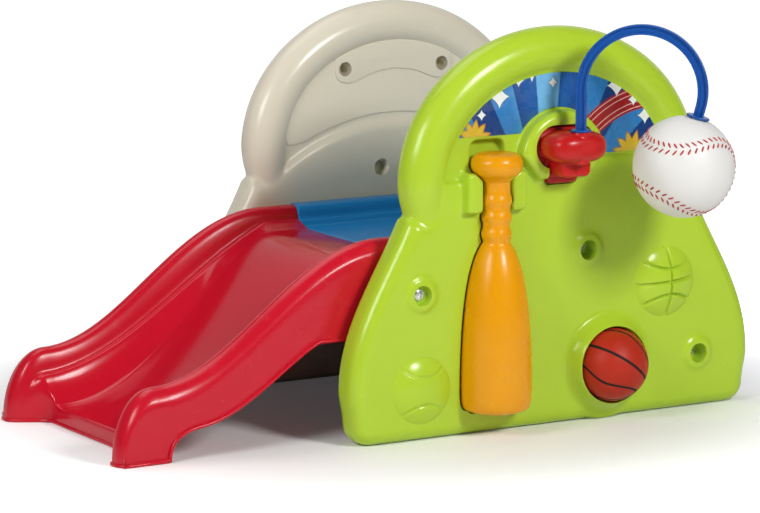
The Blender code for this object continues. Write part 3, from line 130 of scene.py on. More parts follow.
# Screws: place in X and Z, and how deep the head lies below the panel's face
PANEL_SCREWS = {
    "slide": (-0.270, 0.244, 0.004),
    "deck": (0.056, 0.293, 0.018),
    "step": (0.285, 0.095, 0.018),
}
SCREW_BOSS_RADIUS = 0.030
SCREW_BOSS_PROUD = 0.0055
COUNTERBORE_RADIUS = 0.0145
EASED_BORE_GROWTH = 0.0025
HEAD_RADIUS = 0.0105
HEAD_HEIGHT = 0.004
SHANK_RADIUS = 0.0032
THREAD_LENGTH = 0.024
SMALL_HEAD_RADIUS = 0.0065
SMALL_HEAD_HEIGHT = 0.0030
SMALL_SHANK_RADIUS = 0.0020

# Slide
SLIDE_HALF_WIDTH = 0.2265
LIP_WIDTH = 0.0055
LIP_HEIGHT = 0.006
NOSE_LIP = 0.003
RAIL_WIDTH = 0.055
SHELL_WALL = 0.005
SLIDE_EDGE_ROUNDING = 0.0012
NOSE_LENGTH = 0.075
NOSE_INNER_HALF_WIDTH = 0.146
RUN_OUT_X = -0.715
LEVEL_X = -0.300
RAIL_RUN_OUT_Z = 0.121
RAIL_TOP_Z = 0.328
LEDGE_RUN_OUT_Z = 0.078
LEDGE_TOP_Z = 0.302
BED_RUN_OUT_Z = 0.030
BED_FRONT_LENGTH = 0.013
DECK_Z = 0.293
LEDGE_HALF_WIDTH = 0.168
BED_HALF_WIDTH = 0.130
SKIRT_FOOT_X = -0.698
SKIRT_STEP_X = -0.635
SKIRT_STEP_Z = 0.052
SKIRT_LEVEL_X = -0.422
SKIRT_Z = 0.167
SEAM_SIDE_X = -0.222
SEAM_BULGE = 0.018

# Deck and steps
DECK_END_X = 0.185
RISER_LEAN = 0.010
TREAD_Z = 0.150
TREAD_END_X = 0.340
NOSING = 0.012
DECK_WALL = 0.006
CURB_WIDTH = 0.0475
CURB_END_X = 0.160
CURB_ROUNDING = 0.014
CURB_LEDGE_WIDTH = 0.060
CURB_LEDGE_RISE = 0.010
TONGUE_LENGTH = 0.050
TONGUE_HALF_WIDTH = 0.120
TONGUE_WALL = 0.006
HOOK_BOSS_HEIGHT = 0.014
HOOK_BOSS_RADIUS = 0.009
HOOK_SCREW_Y = 0.085
HOOK_SCREW_INSET = 0.030
SIDE_BOSS_RADIUS = 0.013
SIDE_BOSS_DEPTH = 0.034

# Printed sheet
SHEET_MARGIN = 0.0035
SHEET_LEFT_Z = 0.497
SHEET_THICKNESS = 0.0012
SHEET_ROUNDING = 0.0003

# Rod mount
MOUNT_HALF_WIDTH = 0.056
MOUNT_CAP_TOP_Z = 0.507
MOUNT_CAP_BOTTOM_Z = 0.440
MOUNT_STEM_HALF_WIDTH = 0.030
MOUNT_STEM_Z = 0.411
MOUNT_PLATE_SUNK = 0.008
MOUNT_PLATE_PROUD = 0.007
MOUNT_PLATE_ROUNDING = 0.0025
MOUNT_FIT = 0.003
PILLOW_TOP_Z = 0.503
PILLOW_BOTTOM_Z = 0.449
PILLOW_HALF_WIDTH = 0.054
PILLOW_FRONT = 0.080
PILLOW_BACK = -0.004
PILLOW_POWER = 2.8
STEM_FRONT = 0.0505
STEM_FOOT_Z = 0.4255
STEM_FOOT_HALF_WIDTH = 0.029
STEM_TUCK = 0.02
STEM_CORNER = 0.010
STEM_ROUNDING = 0.006
MOUNT_SCREW_X = 0.032
MOUNT_SCREW_Z = 0.474
MOUNT_SCREW_REACH = 0.020
MOUNT_SCREW_PANEL_WALL = 0.016

# Arched rod and swing ball
PIVOT_Y = -(FACE_Y + 0.0605)
ARM_ANGLE = 41.6
PIN_RADIUS = 0.0070
FLANGE_RADIUS = 0.017
FLANGE_THICKNESS = 0.003
FLANGE_Z = PILLOW_TOP_Z + 0.0004
PIVOT_RECESS = 0.012
PIVOT_RECESS_RADIUS = 0.010
BORE_GAP = 0.0012
RECESS_GAP = 0.0008
PIN_LENGTH = FLANGE_Z - PILLOW_BOTTOM_Z - PIVOT_RECESS + 0.0006
LEG_LENGTH = 0.070
ARC_RADIUS = 0.100
ARC_SWEEP = 195.0
TAIL_LENGTH = 0.016
ROD_WIDTH = 0.0170
ROD_DEPTH = 0.0130
ROD_FLANGE = 0.0035
ROD_WEB = 0.0050
ROD_CORNER = 0.0008
FLANGE_ROUNDING = 0.0012
BALL_FLANGE_ROUNDING = 0.001
PLUG_RADIUS = 0.008
PLUG_LENGTH = 0.016
BALL_FLANGE_RADIUS = 0.0195
BALL_RADIUS = 0.084
BALL_SEAM_TURN = (-53.9, 76.1, 120.0)
BALL_SEAM_WAVE = 0.43
BALL_INNER_SHARE = 0.952
BALL_MOUTH_ANGLE = -84.4
STITCH_COUNT = 84
STITCH_LENGTH = 0.0118
STITCH_RADIUS = 0.0016
STITCH_ROW_OFFSET = 0.068

# Toy bat
BAT_X = -0.133
BAT_Y = -(FACE_Y + 0.012)
BAT_BOTTOM_Z = 0.041
BAT_CORNER_Z = 0.074
BAT_RADIUS = 0.0602
BAT_SHOULDER_Z = 0.323
HANDLE_RADIUS = 0.0225
RIDGE_RADIUS = 0.0254
RIDGE_COUNT = 3
RIDGE_TOP_Z = 0.407
NECK_TOP_Z = 0.424
KNOB_RADIUS = 0.0425
KNOB_MIDDLE_Z = 0.453
KNOB_REST_GAP = 0.0006
BAT_TOP_Z = 0.472
BED_CLEARANCE = 0.005

# Foam basketball and its pocket
BASKETBALL_X = 0.097
BASKETBALL_Y = -(FACE_Y + 0.016)
BASKETBALL_Z = 0.0965
BASKETBALL_PLACE = (BASKETBALL_X, BASKETBALL_Y, BASKETBALL_Z)
BASKETBALL_RADIUS = 0.0620
BASKETBALL_ROLL = -26.0
BASKETBALL_TILT = -16.0
POCKET_CLEARANCE = 0.0012
POCKET_FLARE = 0.016
POCKET_BASE_RADIUS = 0.0815
POCKET_RIM_RADIUS = 0.0655
POCKET_PROUD = 0.026

# How finely the soft moulded skins are drawn, and how far their inner and outer corners are eased
PANEL_GRAIN = 0.0027
PANEL_EASING = 9
SADDLE_REACH = 0.048
SADDLE_EASING = 60
DECK_GRAIN = 0.0030
DECK_EASING = 4
MOUNT_GRAIN = 0.0014
MOUNT_EASING = 6

# Moulded plastics: the colour, the colour where it is rubbed, and the roughness
GREEN_PLASTIC = ((0.430, 0.620, 0.030), (0.50, 0.69, 0.07), 0.19)
TAN_PLASTIC = ((0.76, 0.70, 0.56), (0.80, 0.75, 0.62), 0.20)
SLIDE_RED = ((0.580, 0.006, 0.022), (0.64, 0.018, 0.036), 0.21)
DECK_BLUE = ((0.010, 0.23, 0.60), (0.03, 0.30, 0.68), 0.28)
ROD_BLUE = ((0.008, 0.075, 0.34), (0.02, 0.12, 0.42), 0.22)
MOUNT_RED = ((0.49, 0.008, 0.008), (0.55, 0.015, 0.015), 0.26)
BAT_YELLOW = ((0.80, 0.32, 0.0), (0.85, 0.40, 0.004), 0.24)
BALL_WHITE = ((0.77, 0.755, 0.73), (0.71, 0.69, 0.65), 0.42)

# The print: where its beams start, the road's centre, radius and half width, and its inks
BEAMS_START = (-0.02, 0.33)
BEAM_COUNT = 17.0
ROAD = (0.19, 0.36, 0.185, 0.020)
ROAD_LINES = (0.007, 0.0155)
DARK_BEAM = ((0.008, 0.045, 0.20), (0.010, 0.10, 0.36))
PALE_BEAM = ((0.03, 0.20, 0.50), (0.16, 0.45, 0.74))
ROAD_RED = (0.34, 0.012, 0.016)
LINE_PINK = (0.80, 0.45, 0.40)
SUN_EDGE = (0.50, 0.20, 0.006)
SUN_YELLOW = (0.66, 0.44, 0.03)
SPARKLE_EDGE = (0.005, 0.03, 0.14)
SPARKLE_WHITE = (0.82, 0.84, 0.80)

# Suns: X, Z, radius and number of rays. Sparkles: X, Z and radius
SUNS = ((-0.165, 0.492, 0.034, 11.0), (0.150, 0.448, 0.040, 12.0))
SPARKLES = (
    (-0.115, 0.560, 0.0105),
    (-0.078, 0.585, 0.0060),
    (-0.052, 0.603, 0.0120),
    (-0.010, 0.578, 0.0055),
    (0.085, 0.590, 0.0060),
    (0.118, 0.566, 0.0110),
    (0.152, 0.540, 0.0060),
    (0.176, 0.512, 0.0085),
    (-0.150, 0.532, 0.0050),
)
SPARKLE_POWER = 0.7
SPARKLE_REACH = 1.9

# Softboxes: direction from the set, distance, size and power
SOFTBOXES = {
    "front_softbox": ((0.17, -0.87, 0.51), 3.0, (0.6, 0.6), 46.0),
    "left_softbox": ((-0.85, -0.35, 0.50), 3.0, (1.0, 1.0), 36.0),
    "top_softbox": ((-0.15, 0.30, 1.0), 2.8, (2.0, 1.4), 20.0),
}

# The photograph's camera and the studio
CAMERA_PLACE = Vector((-3.318, -5.271, 1.273))
CAMERA_TARGET = Vector((-0.171, 0.0, 0.2583))
CAMERA_LENS = 171.8
STUDIO_CENTRE = Vector((-0.15, 0.0, 0.25))
WORLD_LIGHT = 0.10
DARK_MIRRORED = 0.03
PALE_MIRRORED = 0.80
FLOOR_SIZE = 14.0
FLOOR_SHADE_REACH = 0.52
FLOOR_WHITE_REACH = 1.15


def blended(weights, points):
    return tuple(sum(w * c for w, c in zip(weights, values)) for values in zip(*points))


def bezier(start, first, second, end, steps):
    """Points on a cubic curve, without its last one, so that runs join end to end."""
    points = []
    for i in range(steps):
        t = i / steps
        weights = ((1 - t) ** 3, 3 * t * (1 - t) ** 2, 3 * t * t * (1 - t), t**3)
        points.append(blended(weights, (start, first, second, end)))
    return points


def arc(centre, radius, start, end, steps):
    """Points on a circle or an ellipse from one angle to another, in degrees, with both ends."""
    across, up = radius if isinstance(radius, tuple) else (radius, radius)
    angles = [math.radians(start + (end - start) * i / steps) for i in range(steps + 1)]
    return [(centre[0] + across * math.cos(a), centre[1] + up * math.sin(a)) for a in angles]


def rounded_box(low, high, radius, steps=6):
    corners = ((high[0], high[1], 0), (low[0], high[1], 90), (low[0], low[1], 180), (high[0], low[1], 270))
    points = []
    for x, z, turn in corners:
        centre_x = x - math.copysign(radius, x - low[0] - radius)
        centre_z = z - math.copysign(radius, z - low[1] - radius)
        points += arc((centre_x, centre_z), radius, turn, turn + 90, steps)
    return points


def mirrored(half):
    """A closed outline from its right half, which runs from the bottom's middle to the top's middle."""
    return half + [(-x, z) for x, z in reversed(half) if x > 1e-9]


def rounded_line(points, steps):
    """A smooth line through the points of a coarse one."""
    ends = [tuple(2 * a - b for a, b in zip(points[0], points[1]))] + list(points)
    ends.append(tuple(2 * a - b for a, b in zip(points[-1], points[-2])))
    line = []
    for before, start, end, after in zip(ends, ends[1:], ends[2:], ends[3:]):
        for i in range(steps):
            t = i / steps
            weights = (
                0.5 * (-t + 2 * t**2 - t**3),
                0.5 * (2 - 5 * t**2 + 3 * t**3),
                0.5 * (t + 4 * t**2 - 3 * t**3),
                0.5 * (t**3 - t**2),
            )
            line.append(blended(weights, (before, start, end, after)))
    line.append(tuple(points[-1]))
    return line


def eased_corners(outline, reach, steps=5):
    """An outline with a curve in place of each corner, which starts and ends at a distance from it."""
    points = []
    for before, corner, after in zip(outline[-1:] + outline, outline, outline[1:] + outline[:1]):
        ends = []
        for other in (before, after):
            share = min(0.45, reach / math.dist(corner, other))
            ends.append(tuple(c + share * (o - c) for c, o in zip(corner, other)))
        points += bezier(ends[0], corner, corner, ends[1], steps) + [ends[1]]
    return points


def upright(y=0.0):
    """Stands a drawing's plane up at a depth: its X stays along X, and its Y becomes Z."""
    return Matrix.Translation((0.0, y, 0.0)) @ Matrix.Rotation(math.radians(90), 4, "X")


def along(direction, place):
    """Places a turned piece with its Z along a direction."""
    return Matrix.Translation(place) @ Vector(direction).to_track_quat("Z", "Y").to_matrix().to_4x4()


def baked(obj):
    """The object's evaluated mesh, in the set's frame, in place of the object."""
    bpy.context.view_layer.update()
    graph = bpy.context.evaluated_depsgraph_get()
    mesh = bpy.data.meshes.new_from_object(obj.evaluated_get(graph))
    mesh.transform(obj.matrix_world)
    bpy.data.objects.remove(obj, do_unlink=True)
    return mesh


def as_mesh(name, solid):
    """The mesh of a body built point by point, which is then let go."""
    mesh = bpy.data.meshes.new(name)
    solid.to_mesh(mesh)
    solid.free()
    return mesh


def on_bench(name, data, matrix=None):
    obj = bpy.data.objects.new(name, data)
    bpy.context.scene.collection.objects.link(obj)
    obj.matrix_world = matrix or Matrix()
    return obj


def closed(mesh):
    """Welds a mesh and turns its faces out."""
    solid = bmesh.new()
    solid.from_mesh(mesh)
    bmesh.ops.remove_doubles(solid, verts=solid.verts, dist=1e-5)
    bmesh.ops.recalc_face_normals(solid, faces=solid.faces)
    solid.to_mesh(mesh)
    solid.free()
    return mesh


def flat_curve(name, outline, cyclic=True):
    curve = bpy.data.curves.new(name, "CURVE")
    curve.dimensions = "2D"
    spline = curve.splines.new("POLY")
    spline.points.add(len(outline) - 1)
    for point, (x, z) in zip(spline.points, outline):
        point.co = (x, z, 0.0, 1.0)
    spline.use_cyclic_u = cyclic
    return curve


def plate(name, outline, low, high, rounding=0.0, steps=5, lying=False):
    """A slab cut to an outline, from one depth to another, with its edges rounded."""
    curve = flat_curve(name, outline)
    curve.fill_mode = "BOTH"
    curve.extrude = abs(high - low) / 2 - rounding
    curve.bevel_depth = rounding
    curve.bevel_resolution = steps
    curve.offset = -rounding
    middle = (low + high) / 2
    matrix = Matrix.Translation((0.0, 0.0, middle)) if lying else upright(middle)
    return closed(baked(on_bench(name, curve, matrix)))


def swept(name, path, section, matrix, end_scales=()):
    """A section swept along a line, with closed ends that may be drawn smaller, from the end inwards."""
    guide = on_bench(name + "_section", flat_curve(name + "_section", section))
    curve = flat_curve(name, path, cyclic=False)
    curve.bevel_mode = "OBJECT"
    curve.bevel_object = guide
    curve.use_fill_caps = True
    points = curve.splines[0].points
    for i, scale in enumerate(end_scales):
        points[i].radius = scale
        points[len(points) - 1 - i].radius = scale
    mesh = closed(baked(on_bench(name, curve, matrix)))
    bpy.data.objects.remove(guide, do_unlink=True)
    return mesh


def turned(name, profile, segments, matrix=None):
    """A mesh of revolution round Z. The profile runs down the outer side, from its top to its bottom."""
    solid = bmesh.new()
    points = [solid.verts.new((radius, 0.0, height)) for radius, height in profile]
    edges = [solid.edges.new(pair) for pair in zip(points, points[1:])]
    bmesh.ops.spin(
        solid,
        geom=points + edges,
        cent=(0.0, 0.0, 0.0),
        axis=(0.0, 0.0, 1.0),
        angle=math.tau,
        steps=segments,
        use_merge=True,
    )
    mesh = closed(as_mesh(name, solid))
    if matrix:
        mesh.transform(matrix)
    return mesh


def drum(radius, top, bottom):
    """The profile of a plain round bar."""
    return [(0.0, top), (radius, top), (radius, bottom), (0.0, bottom)]


def bored(name, profile, segments, way, place):
    """A step of carving that cuts a turned shape, whose Z points along a direction."""
    return ("DIFFERENCE", turned(name, profile, segments, along(way, place)))


def ball(name, radii, matrix, segments, rings):
    solid = bmesh.new()
    bmesh.ops.create_uvsphere(solid, u_segments=segments, v_segments=rings, radius=1.0)
    bmesh.ops.scale(solid, verts=solid.verts, vec=radii)
    bmesh.ops.transform(solid, verts=solid.verts, matrix=matrix)
    return as_mesh(name, solid)


def carved(name, base, steps):
    """A mesh joined with others or cut by them. Each step is an operation and a mesh."""
    body = on_bench(name, base)
    tools = []
    for i, (operation, mesh) in enumerate(steps):
        tool = on_bench(f"{name}_tool_{i}", mesh)
        modifier = body.modifiers.new(tool.name, "BOOLEAN")
        modifier.operation = operation
        modifier.solver = "EXACT"
        modifier.object = tool
        tools.append(tool)
    mesh = baked(body)
    for tool in tools:
        bpy.data.objects.remove(tool, do_unlink=True)
    return mesh


def softened(name, mesh, grain, easing, keep, saddles=()):
    """The skin of a hollow moulding: its corners run together in small rounds, wider near the saddles."""
    body = on_bench(name, mesh)
    remesh = body.modifiers.new("even_grain", "REMESH")
    remesh.mode = "VOXEL"
    remesh.voxel_size = grain
    ease = body.modifiers.new("eased_corners", "SMOOTH")
    ease.factor = 0.5
    ease.iterations = easing
    body = on_bench(name, baked(body))
    near = body.vertex_groups.new(name="saddles")
    for vertex in body.data.vertices:
        away = min((math.dist(vertex.co, saddle) for saddle in saddles), default=SADDLE_REACH)
        if away < SADDLE_REACH:
            near.add([vertex.index], 0.5 + 0.5 * math.cos(math.pi * away / SADDLE_REACH), "REPLACE")
    saddle_ease = body.modifiers.new("eased_saddles", "SMOOTH")
    saddle_ease.vertex_group = near.name
    saddle_ease.factor = 0.5
    saddle_ease.iterations = SADDLE_EASING if saddles else 0
    fewer = body.modifiers.new("fewer_faces", "DECIMATE")
    fewer.ratio = keep
    return baked(body)


def joined(name, meshes):
    """One mesh from several."""
    whole = bmesh.new()
    for mesh in meshes:
        whole.from_mesh(mesh)
    return as_mesh(name, whole)


def add_piece(name, mesh, material, body, slot, *nodes, sharp=None):
    """A finished piece in the frame's place, riding on its body, in place of the named nodes."""
    mesh.transform(Matrix.Translation(SHIFT))
    mesh.materials.clear()
    mesh.materials.append(material)
    mesh.shade_smooth()
    if sharp:
        mesh.set_sharp_from_angle(angle=math.radians(sharp))
    obj = on_bench(name, mesh)
    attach(obj, body)
    if nodes:
        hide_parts(*nodes)
    return obj


# Panels


def base_outline():
    neck_x = ARCH_HALF_WIDTH * math.sqrt(1 - ((ARCH_CENTRE_Z - NECK_Z) / ARCH_RISE) ** 2)
    foot_top = (FOOT_HALF_WIDTH, FOOT_CORNER)
    widest = (BASE_HALF_WIDTH, BASE_WIDEST_Z)
    lift = BASE_WIDEST_Z - FOOT_CORNER
    rise = NECK_Z - BASE_WIDEST_Z
    half = arc((FOOT_HALF_WIDTH - FOOT_CORNER, FOOT_CORNER), FOOT_CORNER, -90, 0, 10)
    half += bezier(
        foot_top,
        (FOOT_HALF_WIDTH, FOOT_CORNER + lift / 3),
        (BASE_HALF_WIDTH, BASE_WIDEST_Z - lift / 3),
        widest,
        10,
    )[1:]
    half += bezier(
        widest,
        (BASE_HALF_WIDTH, BASE_WIDEST_Z + 0.39 * rise),
        (neck_x + 0.3 * (BASE_HALF_WIDTH - neck_x), NECK_Z - 0.29 * rise),
        (neck_x, NECK_Z),
        30,
    )
    half.append((neck_x, NECK_Z))
    start = math.degrees(math.acos(SHOULDER_HALF_WIDTH / CROWN_RADIUS))
    half += arc((0.0, CROWN_Z - CROWN_RADIUS), CROWN_RADIUS, start, 90, 24)
    return mirrored(half)


def arch_radii(inset):
    return (ARCH_HALF_WIDTH - inset, ARCH_RISE - inset)


def arch_line(radii, start, end, steps):
    return arc((0.0, ARCH_CENTRE_Z), radii, start, end, steps)


def ring_mesh(y):
    path = arch_line(arch_radii(RING_HALF_WIDTH), -RING_SINK_ANGLE, 180 + RING_SINK_ANGLE, 110)
    section = arc((0.0, 0.0), (RING_HALF_WIDTH, RING_HALF_DEPTH), 0, 360, 36)[:-1]
    fade = [0.62 + 0.38 * math.sin(math.radians(90 * i / 14)) for i in range(14)]
    return swept("ring", path, section, upright(y), fade)


def web_edge_inset():
    """How far inside the arch's outer line its tube meets the web's face."""
    sunk = PANEL_THICKNESS / 2 - WEB_RECESS
    return RING_HALF_WIDTH * (1 + math.sqrt(1 - (sunk / RING_HALF_DEPTH) ** 2))


def web_outline():
    inner = arch_radii(RING_HALF_WIDTH)
    return [(inner[0], SHELF_BASE_Z)] + arch_line(inner, 0, 180, 60) + [(-inner[0], SHELF_BASE_Z)]


def panel_core(side):
    """The flared lower body, and what makes the arch over it: a round tube and a thinner web."""
    low, high = sorted((side * INNER_Y, side * FACE_Y))
    base = plate("panel_base", base_outline(), low, high, RIM_ROUNDING, 7)
    steps = [
        ("UNION", ring_mesh(side * MIDDLE_Y)),
        ("UNION", plate("web", web_outline(), low + WEB_RECESS, high - WEB_RECESS)),
    ]
    return base, steps


def screw_bosses(side):
    """Low round pads round the panel screws."""
    ease = SCREW_BOSS_PROUD
    profile = [(0.0, ease), (SCREW_BOSS_RADIUS - 2 * ease, ease)]
    profile += arc((SCREW_BOSS_RADIUS - 2 * ease, 0.0), (2 * ease, ease), 75, 0, 5)
    profile += [(SCREW_BOSS_RADIUS + 0.3 * ease, -ease), (0.0, -ease)]
    return [
        ("UNION", turned("boss", profile, 48, along((0, side, 0), (x, side * FACE_Y, z))))
        for x, z, _ in PANEL_SCREWS.values()
    ]


def screw_holes(side):
    """Counterbores for the panel screws' heads, and the holes for their shanks."""
    steps = []
    for x, z, sunk in PANEL_SCREWS.values():
        seat = -(sunk + HEAD_HEIGHT)
        through = -(PANEL_THICKNESS + 0.01)
        mouth = COUNTERBORE_RADIUS + EASED_BORE_GROWTH
        profile = [
            (0.0, CUT_REACH),
            (mouth, CUT_REACH),
            (mouth, -0.004),
            (COUNTERBORE_RADIUS, seat),
            (SHANK_RADIUS, seat),
            (SHANK_RADIUS, through),
            (0.0, through),
        ]
        steps.append(bored("hole", profile, 48, (0, side, 0), (x, side * FACE_Y, z)))
    return steps


def mount_outline(grow=0.0):
    """The mount's plate: a wide round cap over a narrower stem. Grown, it cuts the plate's recess."""
    cap_radius = (MOUNT_CAP_TOP_Z - MOUNT_CAP_BOTTOM_Z) / 2 + grow
    cap_x = MOUNT_HALF_WIDTH + grow - cap_radius
    cap_z = (MOUNT_CAP_TOP_Z + MOUNT_CAP_BOTTOM_Z) / 2
    stem_x = MOUNT_STEM_HALF_WIDTH + grow
    foot_z = MOUNT_STEM_Z - grow
    corner = 0.3 * MOUNT_STEM_HALF_WIDTH
    half = arc((stem_x - corner, foot_z + corner), corner, -90, 0, 8)
    touch = math.degrees(math.asin(max(-1.0, min(1.0, (stem_x - cap_x) / cap_radius))))
    half += arc((cap_x, cap_z), cap_radius, -90 + touch, 90, 20)
    return mirrored(half)


def bat_profile(grow=0.0):
    """Radius and height down the bat's side: knob, ridged handle, barrel. Grown, it cuts the bat's bed."""
    knob_height = BAT_TOP_Z - KNOB_MIDDLE_Z
    knob = rounded_line(
        [
            (0.62 * KNOB_RADIUS, BAT_TOP_Z),
            (0.86 * KNOB_RADIUS, BAT_TOP_Z - 0.2 * knob_height),
            (KNOB_RADIUS, KNOB_MIDDLE_Z + 0.3 * knob_height),
            (KNOB_RADIUS, KNOB_MIDDLE_Z - 0.3 * knob_height),
            (0.88 * KNOB_RADIUS, KNOB_MIDDLE_Z - 0.8 * knob_height),
            (0.66 * KNOB_RADIUS, KNOB_MIDDLE_Z - 1.2 * knob_height),
            (HANDLE_RADIUS, NECK_TOP_Z),
        ],
        6,
    )
    handle = RIDGE_TOP_Z - BAT_SHOULDER_Z
    middle = (HANDLE_RADIUS + RIDGE_RADIUS) / 2
    swing = (RIDGE_RADIUS - HANDLE_RADIUS) / 2
    steps = 12 * RIDGE_COUNT
    grip = [
        (middle - swing * math.cos(math.tau * RIDGE_COUNT * i / steps), RIDGE_TOP_Z - handle * i / steps)
        for i in range(steps)
    ]
    barrel = bezier(
        (HANDLE_RADIUS, BAT_SHOULDER_Z),
        (0.83 * BAT_RADIUS, BAT_SHOULDER_Z - 0.15 * (BAT_SHOULDER_Z - BAT_CORNER_Z)),
        (BAT_RADIUS, BAT_SHOULDER_Z - 0.5 * (BAT_SHOULDER_Z - BAT_CORNER_Z)),
        (BAT_RADIUS, BAT_CORNER_Z),
        32,
    )
    corner = BAT_CORNER_Z - BAT_BOTTOM_Z
    foot = rounded_line(
        [
            (BAT_RADIUS, BAT_CORNER_Z),
            (0.975 * BAT_RADIUS, BAT_BOTTOM_Z + 0.45 * corner),
            (0.90 * BAT_RADIUS, BAT_BOTTOM_Z + 0.14 * corner),
            (0.72 * BAT_RADIUS, BAT_BOTTOM_Z),
        ],
        6,
    )
    side = [(r + grow, z) for r, z in knob + grip + barrel + foot]
    side[0] = (side[0][0] - grow, BAT_TOP_Z + grow)
    side[-1] = (side[-1][0] - grow, BAT_BOTTOM_Z - grow)
    return [(0.0, BAT_TOP_Z + grow)] + side + [(0.0, BAT_BOTTOM_Z - grow)]


def clip_outline(side):
    """A clip beside the bat's handle, with its upper inner corner sloped off under the knob."""
    rest_x = 0.88 * KNOB_RADIUS + KNOB_REST_GAP
    rest_z = KNOB_MIDDLE_Z - 0.8 * (BAT_TOP_Z - KNOB_MIDDLE_Z) - KNOB_REST_GAP
    near = CLIP_OPENING / 2
    far = near + CLIP_WIDTH
    bottom_z = CLIP_TOP_Z - CLIP_HEIGHT
    outline = [(near, bottom_z), (far, bottom_z), (far, CLIP_TOP_Z)]
    outline.append((rest_x + (CLIP_TOP_Z - rest_z) / CLIP_SLOPE, CLIP_TOP_Z))
    outline.append((near, rest_z - CLIP_SLOPE * (rest_x - near)))
    return [(BAT_X + side * x, z) for x, z in eased_corners(outline, CLIP_CORNER)]


def toy_side_forms():
    """What stands out from the green panel's web and base: two shelves and two collars."""
    middle, face = -MIDDLE_Y, -FACE_Y
    left = rounded_box((-SHELF_HALF_WIDTH, SHELF_BASE_Z), (-SHELF_INNER_X, LEFT_SHELF_Z), SHELF_CORNER)
    right = rounded_box((SHELF_INNER_X, SHELF_BASE_Z), (SHELF_HALF_WIDTH, RIGHT_SHELF_Z), SHELF_CORNER)
    collar = [(-COLLAR_BASE_HALF_WIDTH, COLLAR_BASE_Z), (COLLAR_BASE_HALF_WIDTH, COLLAR_BASE_Z)]
    collar += arc((0.0, COLLAR_TOP_Z - COLLAR_HALF_WIDTH), COLLAR_HALF_WIDTH, 8, 172, 48)
    rim = [(0.0, POCKET_PROUD), (POCKET_RIM_RADIUS, POCKET_PROUD)]
    rim += rounded_line(
        [
            (POCKET_RIM_RADIUS + 0.0015, POCKET_PROUD - 0.001),
            (POCKET_RIM_RADIUS + 0.0035, POCKET_PROUD - 0.005),
            (POCKET_BASE_RADIUS - 0.005, 0.009),
            (POCKET_BASE_RADIUS + 0.003, 0.001),
            (POCKET_BASE_RADIUS + 0.016, -0.005),
        ],
        5,
    )
    rim += [(POCKET_BASE_RADIUS + 0.017, -0.032), (0.0, -0.032)]
    place = along((0, -1, 0), (BASKETBALL_X, face, BASKETBALL_Z))
    return [
        ("UNION", plate("left_shelf", left, face, middle, SHELF_ROUNDING)),
        ("UNION", plate("right_shelf", right, face, middle, SHELF_ROUNDING)),
        ("UNION", plate("collar", collar, face - COLLAR_PROUD, middle, COLLAR_ROUNDING)),
        ("UNION", turned("ball_collar", rim, 72, place)),
    ]


def toy_side_cuts():
    """What is cut with soft edges: the finger recess, and what would reach below the floor."""
    face = -FACE_Y
    half = FINGER_RECESS_WIDTH / 2
    low = (FINGER_RECESS_X - half, FINGER_RECESS_BOTTOM_Z)
    high = (FINGER_RECESS_X + half, FINGER_RECESS_TOP_Z)
    recess = rounded_box(low, high, FINGER_RECESS_CORNER, 8)
    floor_y = face + WEB_RECESS + FINGER_RECESS_DEPTH
    below = rounded_box((-0.5, -0.1), (0.5, 0.0), 0.001, 1)
    return [
        ("DIFFERENCE", plate("recess", recess, face - CUT_REACH, floor_y, FINGER_RECESS_ROUNDING)),
        ("DIFFERENCE", plate("floor_level", below, -0.5, 0.0)),
    ]


def toy_seats():
    """What is cut with crisp edges: the seats of the bat, the basketball and the rod mount."""
    place = Matrix.Translation((BAT_X, BAT_Y - BED_CLEARANCE + 0.001, 0.0))
    radius = BASKETBALL_RADIUS + POCKET_CLEARANCE
    top = 2.5 * CUT_REACH
    pocket = [(0.0, top), (radius + POCKET_FLARE, top)]
    pocket += arc((0.0, 0.0), radius, 0, -89, 24) + [(0.0, -radius)]
    recess = plate("mount_recess", mount_outline(MOUNT_FIT), -FACE_Y - top, -FACE_Y + MOUNT_PLATE_SUNK)
    return [
        ("DIFFERENCE", turned("bed", bat_profile(BED_CLEARANCE), 64, place)),
        bored("pocket", pocket, 96, (0, -1, 0), BASKETBALL_PLACE),
        ("DIFFERENCE", recess),
    ]


def mount_back_y():
    return -(FACE_Y - MOUNT_PLATE_SUNK + FIT_GAP)


def mount_screw_cuts():
    """Counterbores in the deck side of the green panel, for the screws that hold the rod mount."""
    seat = mount_back_y() + MOUNT_SCREW_PANEL_WALL + INNER_Y
    profile = [
        (0.0, 0.03),
        (COUNTERBORE_RADIUS, 0.03),
        (COUNTERBORE_RADIUS, seat),
        (SHANK_RADIUS, seat),
        (SHANK_RADIUS, seat - 0.04),
        (0.0, seat - 0.04),
    ]
    return [
        bored("hole", profile, 40, (0, 1, 0), (x, -INNER_Y, MOUNT_SCREW_Z))
        for x in (-MOUNT_SCREW_X, MOUNT_SCREW_X)
    ]


def mould_holes(side):
    """Blind holes in a panel's inner side."""
    steps = []
    for x, z, start, radius in MOULD_HOLES:
        reach = start + MOULD_HOLE_DEPTH
        profile = [
            (0.0, 0.03),
            (radius + 0.002, 0.03),
            (radius, -start - 0.002),
            (radius - 0.001, -reach),
            (0.0, -reach),
        ]
        steps.append(bored("hole", profile, 40, (0, -side, 0), (x, side * INNER_Y, z)))
    return steps


def saddles(side):
    """Where the arch's tube runs into the base, on both faces of the panel."""
    return [
        (x, side * MIDDLE_Y + depth * RING_HALF_DEPTH, NECK_Z + 0.004)
        for x in (-SHOULDER_HALF_WIDTH, SHOULDER_HALF_WIDTH)
        for depth in (-0.9, 0.9)
    ]


